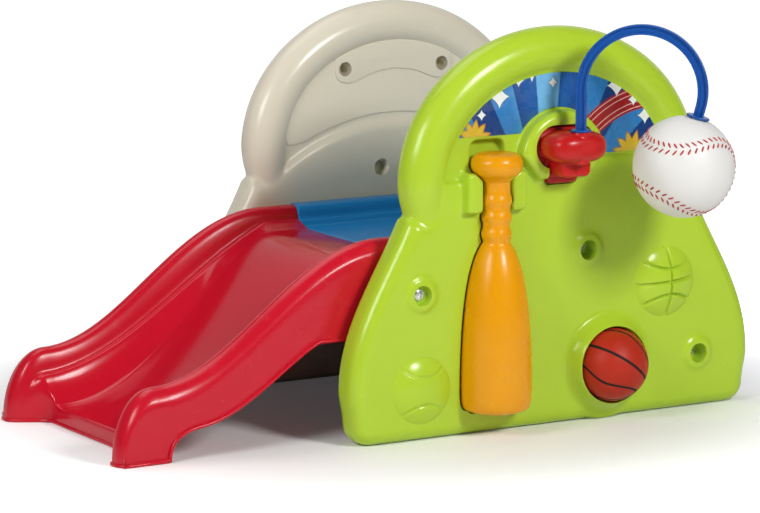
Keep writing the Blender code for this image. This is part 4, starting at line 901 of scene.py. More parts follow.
def make_green_panel(finish):
    base, steps = panel_core(GREEN)
    steps += toy_side_forms() + screw_bosses(GREEN) + toy_side_cuts() + mount_screw_cuts()
    for side in (-1, 1):
        clip = plate("clip", clip_outline(side), -FACE_Y - CLIP_PROUD, 0.02 - FACE_Y, CLIP_ROUNDING)
        steps.append(("UNION", clip))
    mesh = carved("green_panel", base, steps)
    mesh = softened("green_panel", mesh, PANEL_GRAIN, PANEL_EASING, 0.4, saddles(GREEN))
    mesh = carved("green_panel", mesh, toy_seats() + screw_holes(GREEN))
    add_piece("green_panel_skin", mesh, finish, "playset", "green_plastic", "green_side_panel", sharp=48)


def make_tan_panel(finish):
    base, steps = panel_core(TAN)
    steps += screw_bosses(TAN)
    mesh = carved("tan_panel", base, steps)
    mesh = softened("tan_panel", mesh, PANEL_GRAIN, PANEL_EASING, 0.4, saddles(TAN))
    mesh = carved("tan_panel", mesh, screw_holes(TAN) + mould_holes(TAN))
    add_piece("tan_panel_skin", mesh, finish, "playset", "tan_plastic", "tan_side_panel", sharp=48)


def window_outline():
    """The flat field pressed into the tan web: it follows the arch above and the base's crown below."""
    wide, tall = arch_radii(web_edge_inset() - PAD_TUCK)
    line = arch_line((wide, tall), 10, 90, 30)
    radius = CROWN_RADIUS + WINDOW_GAP
    centre = (0.0, CROWN_Z - CROWN_RADIUS)
    turn = math.degrees(math.acos(WINDOW_CORNER_X / radius))
    below = arc(centre, radius, 90, turn, 24)
    corner = (wide - PAD_TUCK, below[-1][1] - 0.2 * (wide - WINDOW_CORNER_X))
    return mirrored(below + bezier(below[-1], corner, corner, line[0], 10)[1:] + line)


def hole_band_outline():
    """The raised band round the two upper mould holes, under the arch."""
    wide, tall = arch_radii(web_edge_inset() - PAD_TUCK)
    x, z, _, radius = MOULD_HOLES[1]
    edge = radius + HOLE_BAND_EDGE
    below = [(0.0, z - 0.003), (0.42 * x, z - 0.009), (0.74 * x, z - 0.021), (x - 0.3 * edge, z - edge)]
    below += [(x + a * edge, z + b * edge) for a, b in ((0.45, -0.82), (0.75, -0.35), (0.8, 0.3))]
    start = math.degrees(math.acos(below[-1][0] / wide))
    return mirrored(rounded_line(below, 6) + arch_line((wide, tall), start, 90, 20))


def make_web_pads(finish):
    face = INNER_Y + WEB_RECESS
    for name, outline, proud in (
        ("web_window", window_outline(), WINDOW_PROUD),
        ("hole_band", hole_band_outline(), HOLE_BAND_PROUD),
    ):
        pad = plate(name, outline, face - proud, face + 0.002, PAD_ROUNDING, 3)
        mesh = carved(name, pad, mould_holes(TAN)[:2])
        add_piece(name, mesh, finish, "playset", "tan_plastic", sharp=50)


def dome_mesh(radius, grooves):
    """A shallow dome, drawn finely enough that the grooves across it are real dents."""
    rings, spokes = 72, 168
    solid = bmesh.new()
    rows = []
    for i in range(rings + 1):
        share = i / rings
        row = []
        for j in range(spokes):
            angle = math.tau * j / spokes
            x, z = share * math.cos(angle), share * math.sin(angle)
            crown = DOME_PROUD * max(0.0, 1 - share * share) ** DOME_FLATNESS
            height = crown - grooves(x, z, share) - DOME_EDGE_SINK * share**8
            row.append(solid.verts.new((radius * x, radius * z, height)))
        rows.append(row)
    for inner, outer in zip(rows, rows[1:]):
        for j in range(spokes):
            k = (j + 1) % spokes
            solid.faces.new((inner[j], outer[j], outer[k], inner[k]))
    bmesh.ops.remove_doubles(solid, verts=rows[0], dist=1e-6)
    return closed(as_mesh("dome", solid))


def dent(distance, width, depth):
    """How deep a steep-sided groove is at a distance from its middle."""
    share = min(1.0, abs(distance) / width)
    return depth * (0.5 + 0.5 * math.cos(math.pi * share)) ** 0.6


def basketball_grooves(x, z, share):
    """A cross of two lines and a bowed line on each side, fading out at the dome's edge."""
    lean = 0.10 * (1 - z * z)
    lines = [x - lean, z - 0.06 * x]
    for side in (-1, 1):
        lines.append(side * z - 0.36 - 0.42 * (x - lean) ** 2)
    fade = min(1.0, (1 - share) / 0.04)
    return fade * max(dent(line, *BASKETBALL_GROOVE) for line in lines)


def baseball_grooves(x, z, share):
    """The two bowed seams, fading out at the dome's edge."""
    lines = [side * z - 0.40 - 0.55 * (x - 0.05) ** 2 for side in (-1, 1)]
    fade = min(1.0, (1 - share) / 0.06)
    return fade * max(dent(line, *BASEBALL_GROOVE) for line in lines)


def make_domes(finish):
    for name, (x, z, radius), grooves in (
        ("baseball_dome", BASEBALL_DOME, baseball_grooves),
        ("basketball_dome", BASKETBALL_DOME, basketball_grooves),
    ):
        mesh = dome_mesh(radius, grooves)
        mesh.transform(Matrix.Translation((x, -FACE_Y, z)) @ Matrix.Rotation(math.radians(90), 4, "X"))
        add_piece(name, mesh, finish, "playset", "green_plastic")


# Slide


def lookup(points, x):
    """The height of a line at a place along it."""
    for (x0, z0), (x1, z1) in zip(points, points[1:]):
        if x <= x1:
            return z0 + (z1 - z0) * max(0.0, (x - x0) / (x1 - x0))
    return points[-1][1]


def slide_curves():
    """The four lines that run down the slide: rail top, ledge, bed and the lower edge of the sides."""
    length = LEVEL_X - RUN_OUT_X

    def line(start_z, first, second, end_z):
        ends = ((RUN_OUT_X, start_z), (LEVEL_X, end_z))
        inner = [(RUN_OUT_X + share * length, z) for share, z in (first, second)]
        return bezier(ends[0], inner[0], inner[1], ends[1], 90) + [ends[1]]

    rail = line(RAIL_RUN_OUT_Z, (0.35, RAIL_RUN_OUT_Z + 0.001), (0.60, RAIL_TOP_Z - 0.006), RAIL_TOP_Z)
    ledge = line(LEDGE_RUN_OUT_Z, (0.37, LEDGE_RUN_OUT_Z + 0.018), (0.64, LEDGE_TOP_Z - 0.067), LEDGE_TOP_Z)
    bed = line(BED_RUN_OUT_Z, (0.45, BED_RUN_OUT_Z - 0.005), (0.76, DECK_Z), DECK_Z)
    step = (SKIRT_STEP_X, SKIRT_STEP_Z)
    bend_x = SKIRT_FOOT_X + 0.4 * (SKIRT_STEP_X - SKIRT_FOOT_X)
    skirt = bezier(
        (SKIRT_FOOT_X, 0.0),
        (SKIRT_FOOT_X, 0.7 * SKIRT_STEP_Z),
        (bend_x, 0.9 * SKIRT_STEP_Z),
        step,
        24,
    )
    reach = SKIRT_LEVEL_X - SKIRT_STEP_X
    skirt += bezier(
        step,
        (SKIRT_STEP_X + 0.35 * reach, SKIRT_STEP_Z + 0.010),
        (SKIRT_LEVEL_X - 0.22 * reach, SKIRT_Z - 0.017),
        (SKIRT_LEVEL_X, SKIRT_Z),
        40,
    )
    return rail, ledge, bed, skirt + [(SKIRT_LEVEL_X, SKIRT_Z)]


def slide_section(rail, ledge, bed, skirt):
    """Half of the slide's section, from its middle out over the rail and down the side, as Y and Z."""
    outer = SLIDE_HALF_WIDTH
    crest_y = outer - RAIL_WIDTH / 2
    wall_y = outer - RAIL_WIDTH
    drop = rail - ledge
    rim = min(0.030, 0.5 * (rail - skirt))
    line = [
        (0.0, bed),
        (0.55 * BED_HALF_WIDTH, bed),
        (BED_HALF_WIDTH, bed),
        (BED_HALF_WIDTH + 0.45 * (LEDGE_HALF_WIDTH - BED_HALF_WIDTH), bed + 0.30 * (ledge - bed)),
        (BED_HALF_WIDTH + 0.80 * (LEDGE_HALF_WIDTH - BED_HALF_WIDTH), bed + 0.70 * (ledge - bed)),
        (LEDGE_HALF_WIDTH, ledge),
        (wall_y + 0.10 * RAIL_WIDTH, ledge + 0.10 * drop),
        (wall_y + 0.17 * RAIL_WIDTH, ledge + 0.50 * drop),
        (wall_y + 0.28 * RAIL_WIDTH, ledge + 0.86 * drop),
        (crest_y, rail),
        (crest_y + 0.22 * RAIL_WIDTH, rail - 0.13 * rim),
        (crest_y + 0.40 * RAIL_WIDTH, rail - 0.45 * rim),
        (outer, rail - rim),
        (outer, (rail - rim + skirt + LIP_HEIGHT) / 2),
        (outer, skirt + 1.2 * LIP_HEIGHT),
    ]
    edge = outer + 0.4 * LIP_WIDTH
    return rounded_line(line, 4) + [(edge, skirt + LIP_HEIGHT), (edge, skirt)]


def nose_reach(y):
    """How far a line of the section runs on in front of the run-out before it meets the floor."""
    crest_y = SLIDE_HALF_WIDTH - RAIL_WIDTH / 2
    if y > crest_y:
        share = (y - crest_y) / (SLIDE_HALF_WIDTH + LIP_WIDTH - crest_y)
        least = 0.6 * NOSE_LENGTH
        return least + (NOSE_LENGTH - least) * (1 - share**3) ** 0.5
    share = min(1.0, (crest_y - y) / (crest_y - NOSE_INNER_HALF_WIDTH))
    return BED_FRONT_LENGTH + (NOSE_LENGTH - BED_FRONT_LENGTH) * (0.5 + 0.5 * math.cos(math.pi * share))


def nose_point(y, z, angle):
    """A point of the rounded front, from the floor up to the run-out. Where it is short, it is squarer."""
    reach = nose_reach(y)
    square = 0.35 + 0.65 * (reach - BED_FRONT_LENGTH) / (NOSE_LENGTH - BED_FRONT_LENGTH)
    ahead = (reach - NOSE_LIP) * max(0.0, math.cos(angle)) ** square
    return (RUN_OUT_X - ahead, y, z * math.sin(angle) ** square)


def slide_lip():
    """The bead along the lower edge of the sides, round the nose and under the bed's front."""
    radius = LIP_HEIGHT / 2
    edge = SLIDE_HALF_WIDTH + LIP_WIDTH - radius
    path = [(SEAM_SIDE_X - 0.003, edge, SKIRT_Z + radius)]
    path += [(x, edge, z + radius) for x, z in reversed(slide_curves()[3])]
    for i in range(1, 61):
        y = (edge + radius) * (1 - (i / 60) ** 2)
        path.append((RUN_OUT_X - nose_reach(y) + radius, min(y, edge), radius))
    path += [(x, -y, z) for x, y, z in reversed(path[:-1])]
    curve = bpy.data.curves.new("slide_lip", "CURVE")
    curve.dimensions = "3D"
    spline = curve.splines.new("POLY")
    spline.points.add(len(path) - 1)
    for point, place in zip(spline.points, path):
        point.co = (*place, 1.0)
    curve.bevel_depth = radius
    curve.bevel_resolution = 3
    curve.use_fill_caps = True
    return closed(baked(on_bench("slide_lip", curve)))


def slide_mesh():
    rail, ledge, bed, skirt = slide_curves()
    stations = [RUN_OUT_X + 0.004, RUN_OUT_X + 0.010, SKIRT_FOOT_X - 0.001, SKIRT_FOOT_X + 0.002]
    stations += [SKIRT_FOOT_X + 0.006 + (SKIRT_STEP_X - SKIRT_FOOT_X) * i / 10 for i in range(10)]
    start = stations[-1] + 0.006
    stations += [start + (LEVEL_X - start) * i / 56 for i in range(57)]
    stations += [LEVEL_X + 0.03, SEAM_SIDE_X + 2 * SEAM_BULGE]

    def section(x):
        low = 0.0 if x < SKIRT_FOOT_X else lookup(skirt, x)
        return slide_section(lookup(rail, x), lookup(ledge, x), lookup(bed, x), low)

    first = section(RUN_OUT_X)
    rows = [[nose_point(y, z, math.radians(90 * i / 16)) for y, z in first] for i in range(17)]
    rows += [[(x, y, z) for y, z in section(x)] for x in stations]
    solid = bmesh.new()
    grid = [[solid.verts.new(point) for point in row] for row in rows]
    for row, following in zip(grid, grid[1:]):
        for i in range(len(row) - 1):
            solid.faces.new((row[i], following[i], following[i + 1], row[i + 1]))
    return as_mesh("slide", solid)


def seam_outline(gap):
    """What lies on the deck's side of the seam, seen from above: its front edge bows towards the slide."""
    half = INNER_Y + 0.02
    radius = (half**2 + SEAM_BULGE**2) / (2 * SEAM_BULGE)
    centre_x = SEAM_SIDE_X - SEAM_BULGE + radius
    span = math.degrees(math.asin(half / radius))
    front = arc((centre_x, 0.0), radius + gap, 180 - span, 180 + span, 48)
    return front, [(0.6, -half), (0.6, half)]


def side_bosses(screws):
    """Bosses that the panel screws reach, on both sides of the slide or the deck."""
    steps = []
    outer = INNER_Y - FIT_GAP
    profile = drum(SIDE_BOSS_RADIUS, outer, outer - SIDE_BOSS_DEPTH)
    for side in (GREEN, TAN):
        for name in screws:
            x, z, _ = PANEL_SCREWS[name]
            steps.append(("UNION", turned("boss", profile, 40, along((0, side, 0), (x, 0.0, z)))))
    return steps


def hook_screw_x():
    return SEAM_SIDE_X - SEAM_BULGE - HOOK_SCREW_INSET


def tongue_top_z():
    return DECK_Z - SHELL_WALL - HOOK_BOSS_HEIGHT


def make_slide(finish):
    skin = on_bench("slide", slide_mesh())
    mirror = skin.modifiers.new("other_side", "MIRROR")
    mirror.use_axis = (False, True, False)
    mirror.merge_threshold = 0.0001
    shell = skin.modifiers.new("wall", "SOLIDIFY")
    shell.thickness = SHELL_WALL
    shell.offset = -1.0
    front, back = seam_outline(SEAM_GAP)
    steps = [("DIFFERENCE", plate("seam", front + back, -0.1, 0.6, lying=True))]
    hook_boss = drum(HOOK_BOSS_RADIUS, DECK_Z - 0.002, tongue_top_z() + FIT_GAP)
    for side in (-1, 1):
        place = Matrix.Translation((hook_screw_x(), side * HOOK_SCREW_Y, 0.0))
        steps.append(("UNION", turned("boss", hook_boss, 40, place)))
    mesh = carved("slide", baked(skin), steps + side_bosses(("slide",)))
    eased = on_bench("slide_eased", mesh)
    bevel = eased.modifiers.new("eased_edges", "BEVEL")
    bevel.width = SLIDE_EDGE_ROUNDING
    bevel.segments = 2
    bevel.limit_method = "ANGLE"
    bevel.angle_limit = math.radians(50)
    bevel.use_clamp_overlap = True
    add_piece("slide_skin", baked(eased), finish, "playset", "red_plastic", "slide_chute", sharp=62)
    add_piece("slide_lip", slide_lip(), finish, "playset", "red_plastic")


# Deck


def stair_outline(inset=0.0):
    """The deck and its step from the side. With an inset, it is the hollow below them."""
    nose = max(NOSING - inset, 0.002)
    floor = -0.02 if inset else 0.0
    front = SEAM_SIDE_X - 3 * SEAM_BULGE - inset
    deck_end = DECK_END_X - inset
    riser_foot = DECK_END_X + RISER_LEAN - inset
    tread_end = TREAD_END_X - inset
    inside_x = DECK_END_X - 2 * NOSING + inset
    skirt = SKIRT_Z - (0.02 if inset else 0.0)
    outline = [(front, skirt), (inside_x, skirt), (inside_x, floor), (tread_end + RISER_LEAN, floor)]
    outline += arc((tread_end - nose, TREAD_Z - inset - nose), nose, 0, 90, 12)
    outline += [(riser_foot, TREAD_Z - inset)]
    outline += arc((deck_end - nose, DECK_Z - inset - nose), nose, 0, 90, 12)
    return outline + [(front, DECK_Z - inset)]


def curb_outline(height, end):
    front = SEAM_SIDE_X - 3 * SEAM_BULGE
    fall = height - DECK_Z
    foot = DECK_Z - 1.5 * CURB_ROUNDING
    outline = [(front, foot), (end + 0.5 * fall, foot)]
    return outline + arc((end - fall, DECK_Z), (1.5 * fall, fall), 0, 90, 16) + [(front, height)]


def make_deck(finish):
    outer = SLIDE_HALF_WIDTH
    steps = []
    for side in (-1, 1):
        for width, height, rounding in (
            (CURB_WIDTH, RAIL_TOP_Z, CURB_ROUNDING),
            (CURB_LEDGE_WIDTH, DECK_Z + CURB_LEDGE_RISE, 0.45 * CURB_LEDGE_RISE),
        ):
            low, high = sorted((side * outer, side * (outer - width)))
            steps.append(("UNION", plate("curb", curb_outline(height, CURB_END_X), low, high, rounding)))
    hollow = plate("hollow", stair_outline(DECK_WALL), -outer + DECK_WALL, outer - DECK_WALL)
    steps.append(("DIFFERENCE", hollow))
    front, _ = seam_outline(0.0)
    far = SEAM_SIDE_X - 0.3
    before = front + [(far, -INNER_Y - 0.02), (far, INNER_Y + 0.02)]
    steps.append(("DIFFERENCE", plate("before_seam", before, -0.1, 0.6, lying=True)))
    top = tongue_top_z()
    root, tip = SEAM_SIDE_X + DECK_WALL, SEAM_SIDE_X - TONGUE_LENGTH
    under = DECK_Z - 0.5 * DECK_WALL
    low, far_x = top - TONGUE_WALL, root + TONGUE_WALL
    tongue = [(tip, low), (far_x, low), (far_x, under), (root, under), (root, top), (tip, top)]
    steps.append(("UNION", plate("tongue", tongue, -TONGUE_HALF_WIDTH, TONGUE_HALF_WIDTH)))
    steps += side_bosses(("deck", "step"))
    base = plate("deck", stair_outline(), -outer, outer)
    mesh = softened("deck", carved("deck", base, steps), DECK_GRAIN, DECK_EASING, 0.4)
    add_piece("deck_skin", mesh, finish, "playset", "blue_plastic", "deck_and_steps")


# Printed sheet


def make_sheet(finish):
    inner = arch_radii(web_edge_inset() + SHEET_MARGIN)
    right_z = RIGHT_SHELF_Z + SHEET_MARGIN
    start = math.degrees(math.asin((right_z - ARCH_CENTRE_Z) / inner[1]))
    end = 180 - math.degrees(math.asin((SHEET_LEFT_Z - ARCH_CENTRE_Z) / inner[1]))
    outline = arch_line(inner, start, end, 80)
    radius = COLLAR_HALF_WIDTH + SHEET_MARGIN
    centre_z = COLLAR_TOP_Z - COLLAR_HALF_WIDTH
    left = 180 - math.degrees(math.asin((SHEET_LEFT_Z - centre_z) / radius))
    right = math.degrees(math.asin((right_z - centre_z) / radius))
    outline += arc((0.0, centre_z), radius, left, right, 40)
    back = -(FACE_Y - WEB_RECESS) - FIT_GAP
    mesh = plate("sheet", outline, back - SHEET_THICKNESS, back, SHEET_ROUNDING, 1)
    add_piece("printed_sheet", mesh, finish, "playset", "printed_sheet", "arch_sheet", sharp=30)


# Mount, rod and swing ball


def cushion(name, half_sizes, power, matrix):
    """A ball swollen towards a box: the higher the power, the squarer it is."""
    mesh = ball(name, (1.0, 1.0, 1.0), Matrix(), 96, 48)
    for vertex in mesh.vertices:
        swell = sum(abs(c) ** power for c in vertex.co) ** (-1 / power)
        vertex.co = [c * swell * half for c, half in zip(vertex.co, half_sizes)]
    mesh.transform(matrix)
    return closed(mesh)


def make_mount(finish):
    face = -FACE_Y
    half_sizes = (PILLOW_HALF_WIDTH, (PILLOW_FRONT - PILLOW_BACK) / 2, (PILLOW_TOP_Z - PILLOW_BOTTOM_Z) / 2)
    middle = (0.0, face - (PILLOW_FRONT + PILLOW_BACK) / 2, (PILLOW_TOP_Z + PILLOW_BOTTOM_Z) / 2)
    low, high = (-STEM_FOOT_HALF_WIDTH, STEM_FOOT_Z), (STEM_FOOT_HALF_WIDTH, PILLOW_TOP_Z - STEM_TUCK)
    stem = rounded_box(low, high, STEM_CORNER)
    pivot = Matrix.Translation((0.0, PIVOT_Y, 0.0))
    seat = [(0.0, PILLOW_TOP_Z), (FLANGE_RADIUS - 0.002, PILLOW_TOP_Z)]
    seat += [(PIVOT_RECESS_RADIUS + 0.0035, PILLOW_BOTTOM_Z), (0.0, PILLOW_BOTTOM_Z)]
    ledge_z = PILLOW_BOTTOM_Z + PIVOT_RECESS
    bore = drum(PIN_RADIUS + BORE_GAP, PILLOW_TOP_Z + CUT_REACH, ledge_z)[:-1]
    bore += drum(PIVOT_RECESS_RADIUS + RECESS_GAP, ledge_z, PILLOW_BOTTOM_Z - CUT_REACH)[1:]
    steps = [
        ("UNION", plate("stem", stem, face - STEM_FRONT, face, STEM_ROUNDING)),
        ("UNION", cushion("pillow", half_sizes, PILLOW_POWER, Matrix.Translation(middle))),
        ("UNION", turned("seat", seat, 40, pivot)),
        ("DIFFERENCE", turned("bore", bore, 40, pivot)),
    ]
    front = face - MOUNT_PLATE_PROUD
    base = plate("mount", mount_outline(), front, mount_back_y(), MOUNT_PLATE_ROUNDING)
    mesh = softened("mount", carved("mount", base, steps), MOUNT_GRAIN, MOUNT_EASING, 0.6)
    add_piece("mount_skin", mesh, finish, "playset", "mount_red", "rod_mount")


def arm_axes():
    out = Vector((math.cos(math.radians(ARM_ANGLE)), -math.sin(math.radians(ARM_ANGLE)), 0.0))
    up = Vector((0.0, 0.0, 1.0))
    return out, up, out.cross(up)


def arm_point(across, height):
    return Vector((0.0, PIVOT_Y, FLANGE_Z)) + across * arm_axes()[0] + Vector((0.0, 0.0, height))


def rod_path():
    centre = (ARC_RADIUS, LEG_LENGTH)
    path = [(0.0, FLANGE_THICKNESS / 2)] + arc(centre, ARC_RADIUS, 180, 180 - ARC_SWEEP, 72)
    last = math.radians(180 - ARC_SWEEP)
    down = (math.sin(last), -math.cos(last))
    path.append((path[-1][0] + TAIL_LENGTH * down[0], path[-1][1] + TAIL_LENGTH * down[1]))
    return path, down


def ball_end():
    """Where the rod meets the ball: the flange's middle, the way to the ball's centre, and that centre."""
    path, down = rod_path()
    place = arm_point(*path[-1])
    way = (arm_point(*down) - arm_point(0.0, 0.0)).normalized()
    return place, way, place + (FLANGE_THICKNESS / 2 + FIT_GAP + BALL_RADIUS) * way


def rod_section():
    """The H section, with each outer corner eased."""
    w, d, f, t = ROD_WIDTH / 2, ROD_DEPTH / 2, ROD_FLANGE, ROD_WEB / 2
    ease = ROD_CORNER
    quarter = [(w, d - ease), (w - ease, d), (w - f + ease, d)]
    quarter += [(w - f, d - ease), (w - f, t + ease), (w - f - ease, t)]
    upper = quarter + [(-x, z) for x, z in reversed(quarter)]
    return upper + [(-x, -z) for x, z in upper]


def make_rod(finish):
    out, up, normal = arm_axes()
    place = Matrix.Translation((0.0, PIVOT_Y, FLANGE_Z)) @ Matrix((out, up, normal)).transposed().to_4x4()
    rod = swept("rod", rod_path()[0], rod_section(), place)
    thick = FLANGE_THICKNESS
    edge = FLANGE_ROUNDING
    pin = [(0.0, thick), (FLANGE_RADIUS - edge, thick)]
    pin += arc((FLANGE_RADIUS - edge, thick - edge), edge, 90, 0, 5)
    pin += [(FLANGE_RADIUS, 0.0), (PIN_RADIUS, 0.0), (PIN_RADIUS, -PIN_LENGTH), (0.0, -PIN_LENGTH)]
    half = thick / 2
    edge = BALL_FLANGE_ROUNDING
    plug = drum(PLUG_RADIUS, half + PLUG_LENGTH, half)[:-1]
    plug += [(BALL_FLANGE_RADIUS, half), (BALL_FLANGE_RADIUS, -0.2 * half)]
    plug += arc((BALL_FLANGE_RADIUS - edge, -half + edge), edge, 0, -90, 4) + [(0.0, -half)]
    end, way, _ = ball_end()
    parts = [
        rod,
        turned("pin", pin, 56, Matrix.Translation((0.0, PIVOT_Y, FLANGE_Z))),
        turned("plug", plug, 56, along(way, end)),
    ]
    mesh = joined("rod", parts)
    add_piece("arched_rod", mesh, finish, "swing_arm", "rod_blue", "arch_rod", sharp=40)


def seam_point(turn):
    """A point of a ball's stitched seam, which winds once round the ball in four waves, on a unit ball."""
    tilt = math.pi / 2 - (math.pi / 2 - BALL_SEAM_WAVE) * math.cos(turn)
    round_angle = turn / 2 + BALL_SEAM_WAVE * math.sin(2 * turn)
    flat = math.sin(tilt)
    return Vector((flat * math.cos(round_angle), flat * math.sin(round_angle), math.cos(tilt)))


def seam_stations(count):
    """Places evenly spaced along the seam, each with the direction that the seam runs there."""
    fine = 2400
    points = [seam_point(4 * math.pi * i / fine) for i in range(fine + 1)]
    lengths = [0.0]
    for a, b in zip(points, points[1:]):
        lengths.append(lengths[-1] + (b - a).length)
    stations = []
    k = 0
    for i in range(count):
        goal = lengths[-1] * i / count
        while lengths[k + 1] < goal:
            k += 1
        stations.append((points[k], (points[k + 1] - points[k]).normalized()))
    return stations


def stitch(place, way, out, length):
    """One thread: a short round bar that lies on the ball and dives into it at both ends."""
    solid = bmesh.new()
    side = out.cross(way).normalized()
    rows = []
    steps, sides = 6, 8
    for i in range(steps + 1):
        share = 2 * i / steps - 1
        middle = place + 0.5 * length * share * way - 0.0007 * share**2 * out
        width = STITCH_RADIUS * math.sqrt(max(0.04, 1 - share**4))
        rows.append(
            [
                solid.verts.new(middle + width * (math.cos(a) * side + 0.75 * math.sin(a) * out))
                for a in (math.tau * j / sides for j in range(sides))
            ]
        )
    for row, following in zip(rows, rows[1:]):
        for j in range(sides):
            solid.faces.new((row[j], row[(j + 1) % sides], following[(j + 1) % sides], following[j]))
    solid.faces.new(list(reversed(rows[0])))
    solid.faces.new(rows[-1])
    return as_mesh("stitch", solid)


def make_swing_ball(finish, thread):
    _, way, centre = ball_end()
    profile = arc((0.0, 0.0), BALL_RADIUS, 90, BALL_MOUTH_ANGLE, 96)
    inner = [(r * BALL_INNER_SHARE, z * BALL_INNER_SHARE) for r, z in reversed(profile)]
    mesh = closed(turned("swing_ball", profile + inner, 128, along(way, centre)))
    add_piece("swing_ball_skin", mesh, finish, "swing_arm", "ball_white", "swing_ball", sharp=60)
    turn = Euler([math.radians(a) for a in BALL_SEAM_TURN]).to_matrix()
    threads = []
    for point, run in seam_stations(STITCH_COUNT):
        out = turn @ point
        run = turn @ run
        across = out.cross(run).normalized()
        if out.angle(-way) < 1.25 * BALL_FLANGE_RADIUS / BALL_RADIUS:
            continue
        for side in (-1, 1):
            lean = (0.62 * run + side * 0.78 * across).normalized()
            middle = centre + BALL_RADIUS * (out + side * STITCH_ROW_OFFSET * across).normalized()
            threads.append(stitch(middle, lean, (middle - centre).normalized(), STITCH_LENGTH))
    add_piece("ball_stitches", joined("stitches", threads), thread, "swing_arm", "ball_white")


# Toys


def make_bat(finish):
    mesh = turned("bat", bat_profile(), 96, Matrix.Translation((BAT_X, BAT_Y, 0.0)))
    add_piece("bat_skin", mesh, finish, "bat", "yellow_plastic", "toy_bat", sharp=70)


def make_basketball(finish):
    mesh = ball("basketball", (BASKETBALL_RADIUS,) * 3, along((0, -1, 0), BASKETBALL_PLACE), 128, 64)
    add_piece("basketball_skin", mesh, finish, "basketball", "foam_orange", "foam_basketball")


# Fasteners


def screw_mesh(head_radius, head_height, shank_radius, length, matrix):
    """A pan-head screw with a cross recess: its head's underside lies at Z = 0 and its shank runs down."""
    low = 0.2 * head_height
    head = [(0.0, head_height)] + arc((0.0, low), (head_radius, head_height - low), 80, 0, 10)
    thread = []
    pitch = 0.55 * shank_radius
    turns = int((length - 3 * shank_radius) / pitch)
    for i in range(turns):
        z = -(i + 0.5) * pitch
        thread += [(0.82 * shank_radius, z), (shank_radius, z - 0.5 * pitch)]
    tip = [(0.8 * shank_radius, -(length - 2 * shank_radius)), (0.0, -length)]
    body = turned("screw", head + [(head_radius, 0.0), (0.82 * shank_radius, 0.0)] + thread + tip, 40)
    arm = 0.55 * head_radius
    slots = []
    for way in (0, 90):
        outline = [(-arm, head_height + 0.001), (-0.25 * arm, 0.25 * head_height)]
        outline += [(0.25 * arm, 0.25 * head_height), (arm, head_height + 0.001)]
        slot = plate("slot", outline, -0.075 * head_radius, 0.075 * head_radius)
        slot.transform(Matrix.Rotation(math.radians(way + 20), 4, "Z"))
        slots.append(("DIFFERENCE", slot))
    mesh = carved("screw", body, slots)
    mesh.transform(matrix)
    return mesh


def add_screw(node, sizes, length, way, place, finish):
    mesh = screw_mesh(*sizes, length, along(way, place))
    add_piece(node + "_detail", mesh, finish, "playset", "zinc_steel", node, sharp=35)


def make_screws(finish):
    large = (HEAD_RADIUS, HEAD_HEIGHT, SHANK_RADIUS)
    small = (SMALL_HEAD_RADIUS, SMALL_HEAD_HEIGHT, SMALL_SHANK_RADIUS)
    for side, label in ((GREEN, "green"), (TAN, "tan")):
        for name, (x, z, sunk) in PANEL_SCREWS.items():
            length = PANEL_THICKNESS - sunk - HEAD_HEIGHT + THREAD_LENGTH
            place = (x, side * (FACE_Y - sunk - HEAD_HEIGHT), z)
            add_screw(f"{label}_{name}_screw", large, length, (0, side, 0), place, finish)
    seat = mount_back_y() + MOUNT_SCREW_PANEL_WALL + FIT_GAP
    for name, x in (("left", -MOUNT_SCREW_X), ("right", MOUNT_SCREW_X)):
        length = MOUNT_SCREW_PANEL_WALL + MOUNT_SCREW_REACH
        add_screw(f"mount_screw_{name}", large, length, (0, 1, 0), (x, seat, MOUNT_SCREW_Z), finish)
    for name, side in (("green", -1), ("tan", 1)):
        place = (hook_screw_x(), side * HOOK_SCREW_Y, tongue_top_z() - TONGUE_WALL - FIT_GAP)
        length = TONGUE_WALL + 0.8 * HOOK_BOSS_HEIGHT
        add_screw(f"slide_hook_screw_{name}_side", small, length, (0, 0, -1), place, finish)


# Finishes


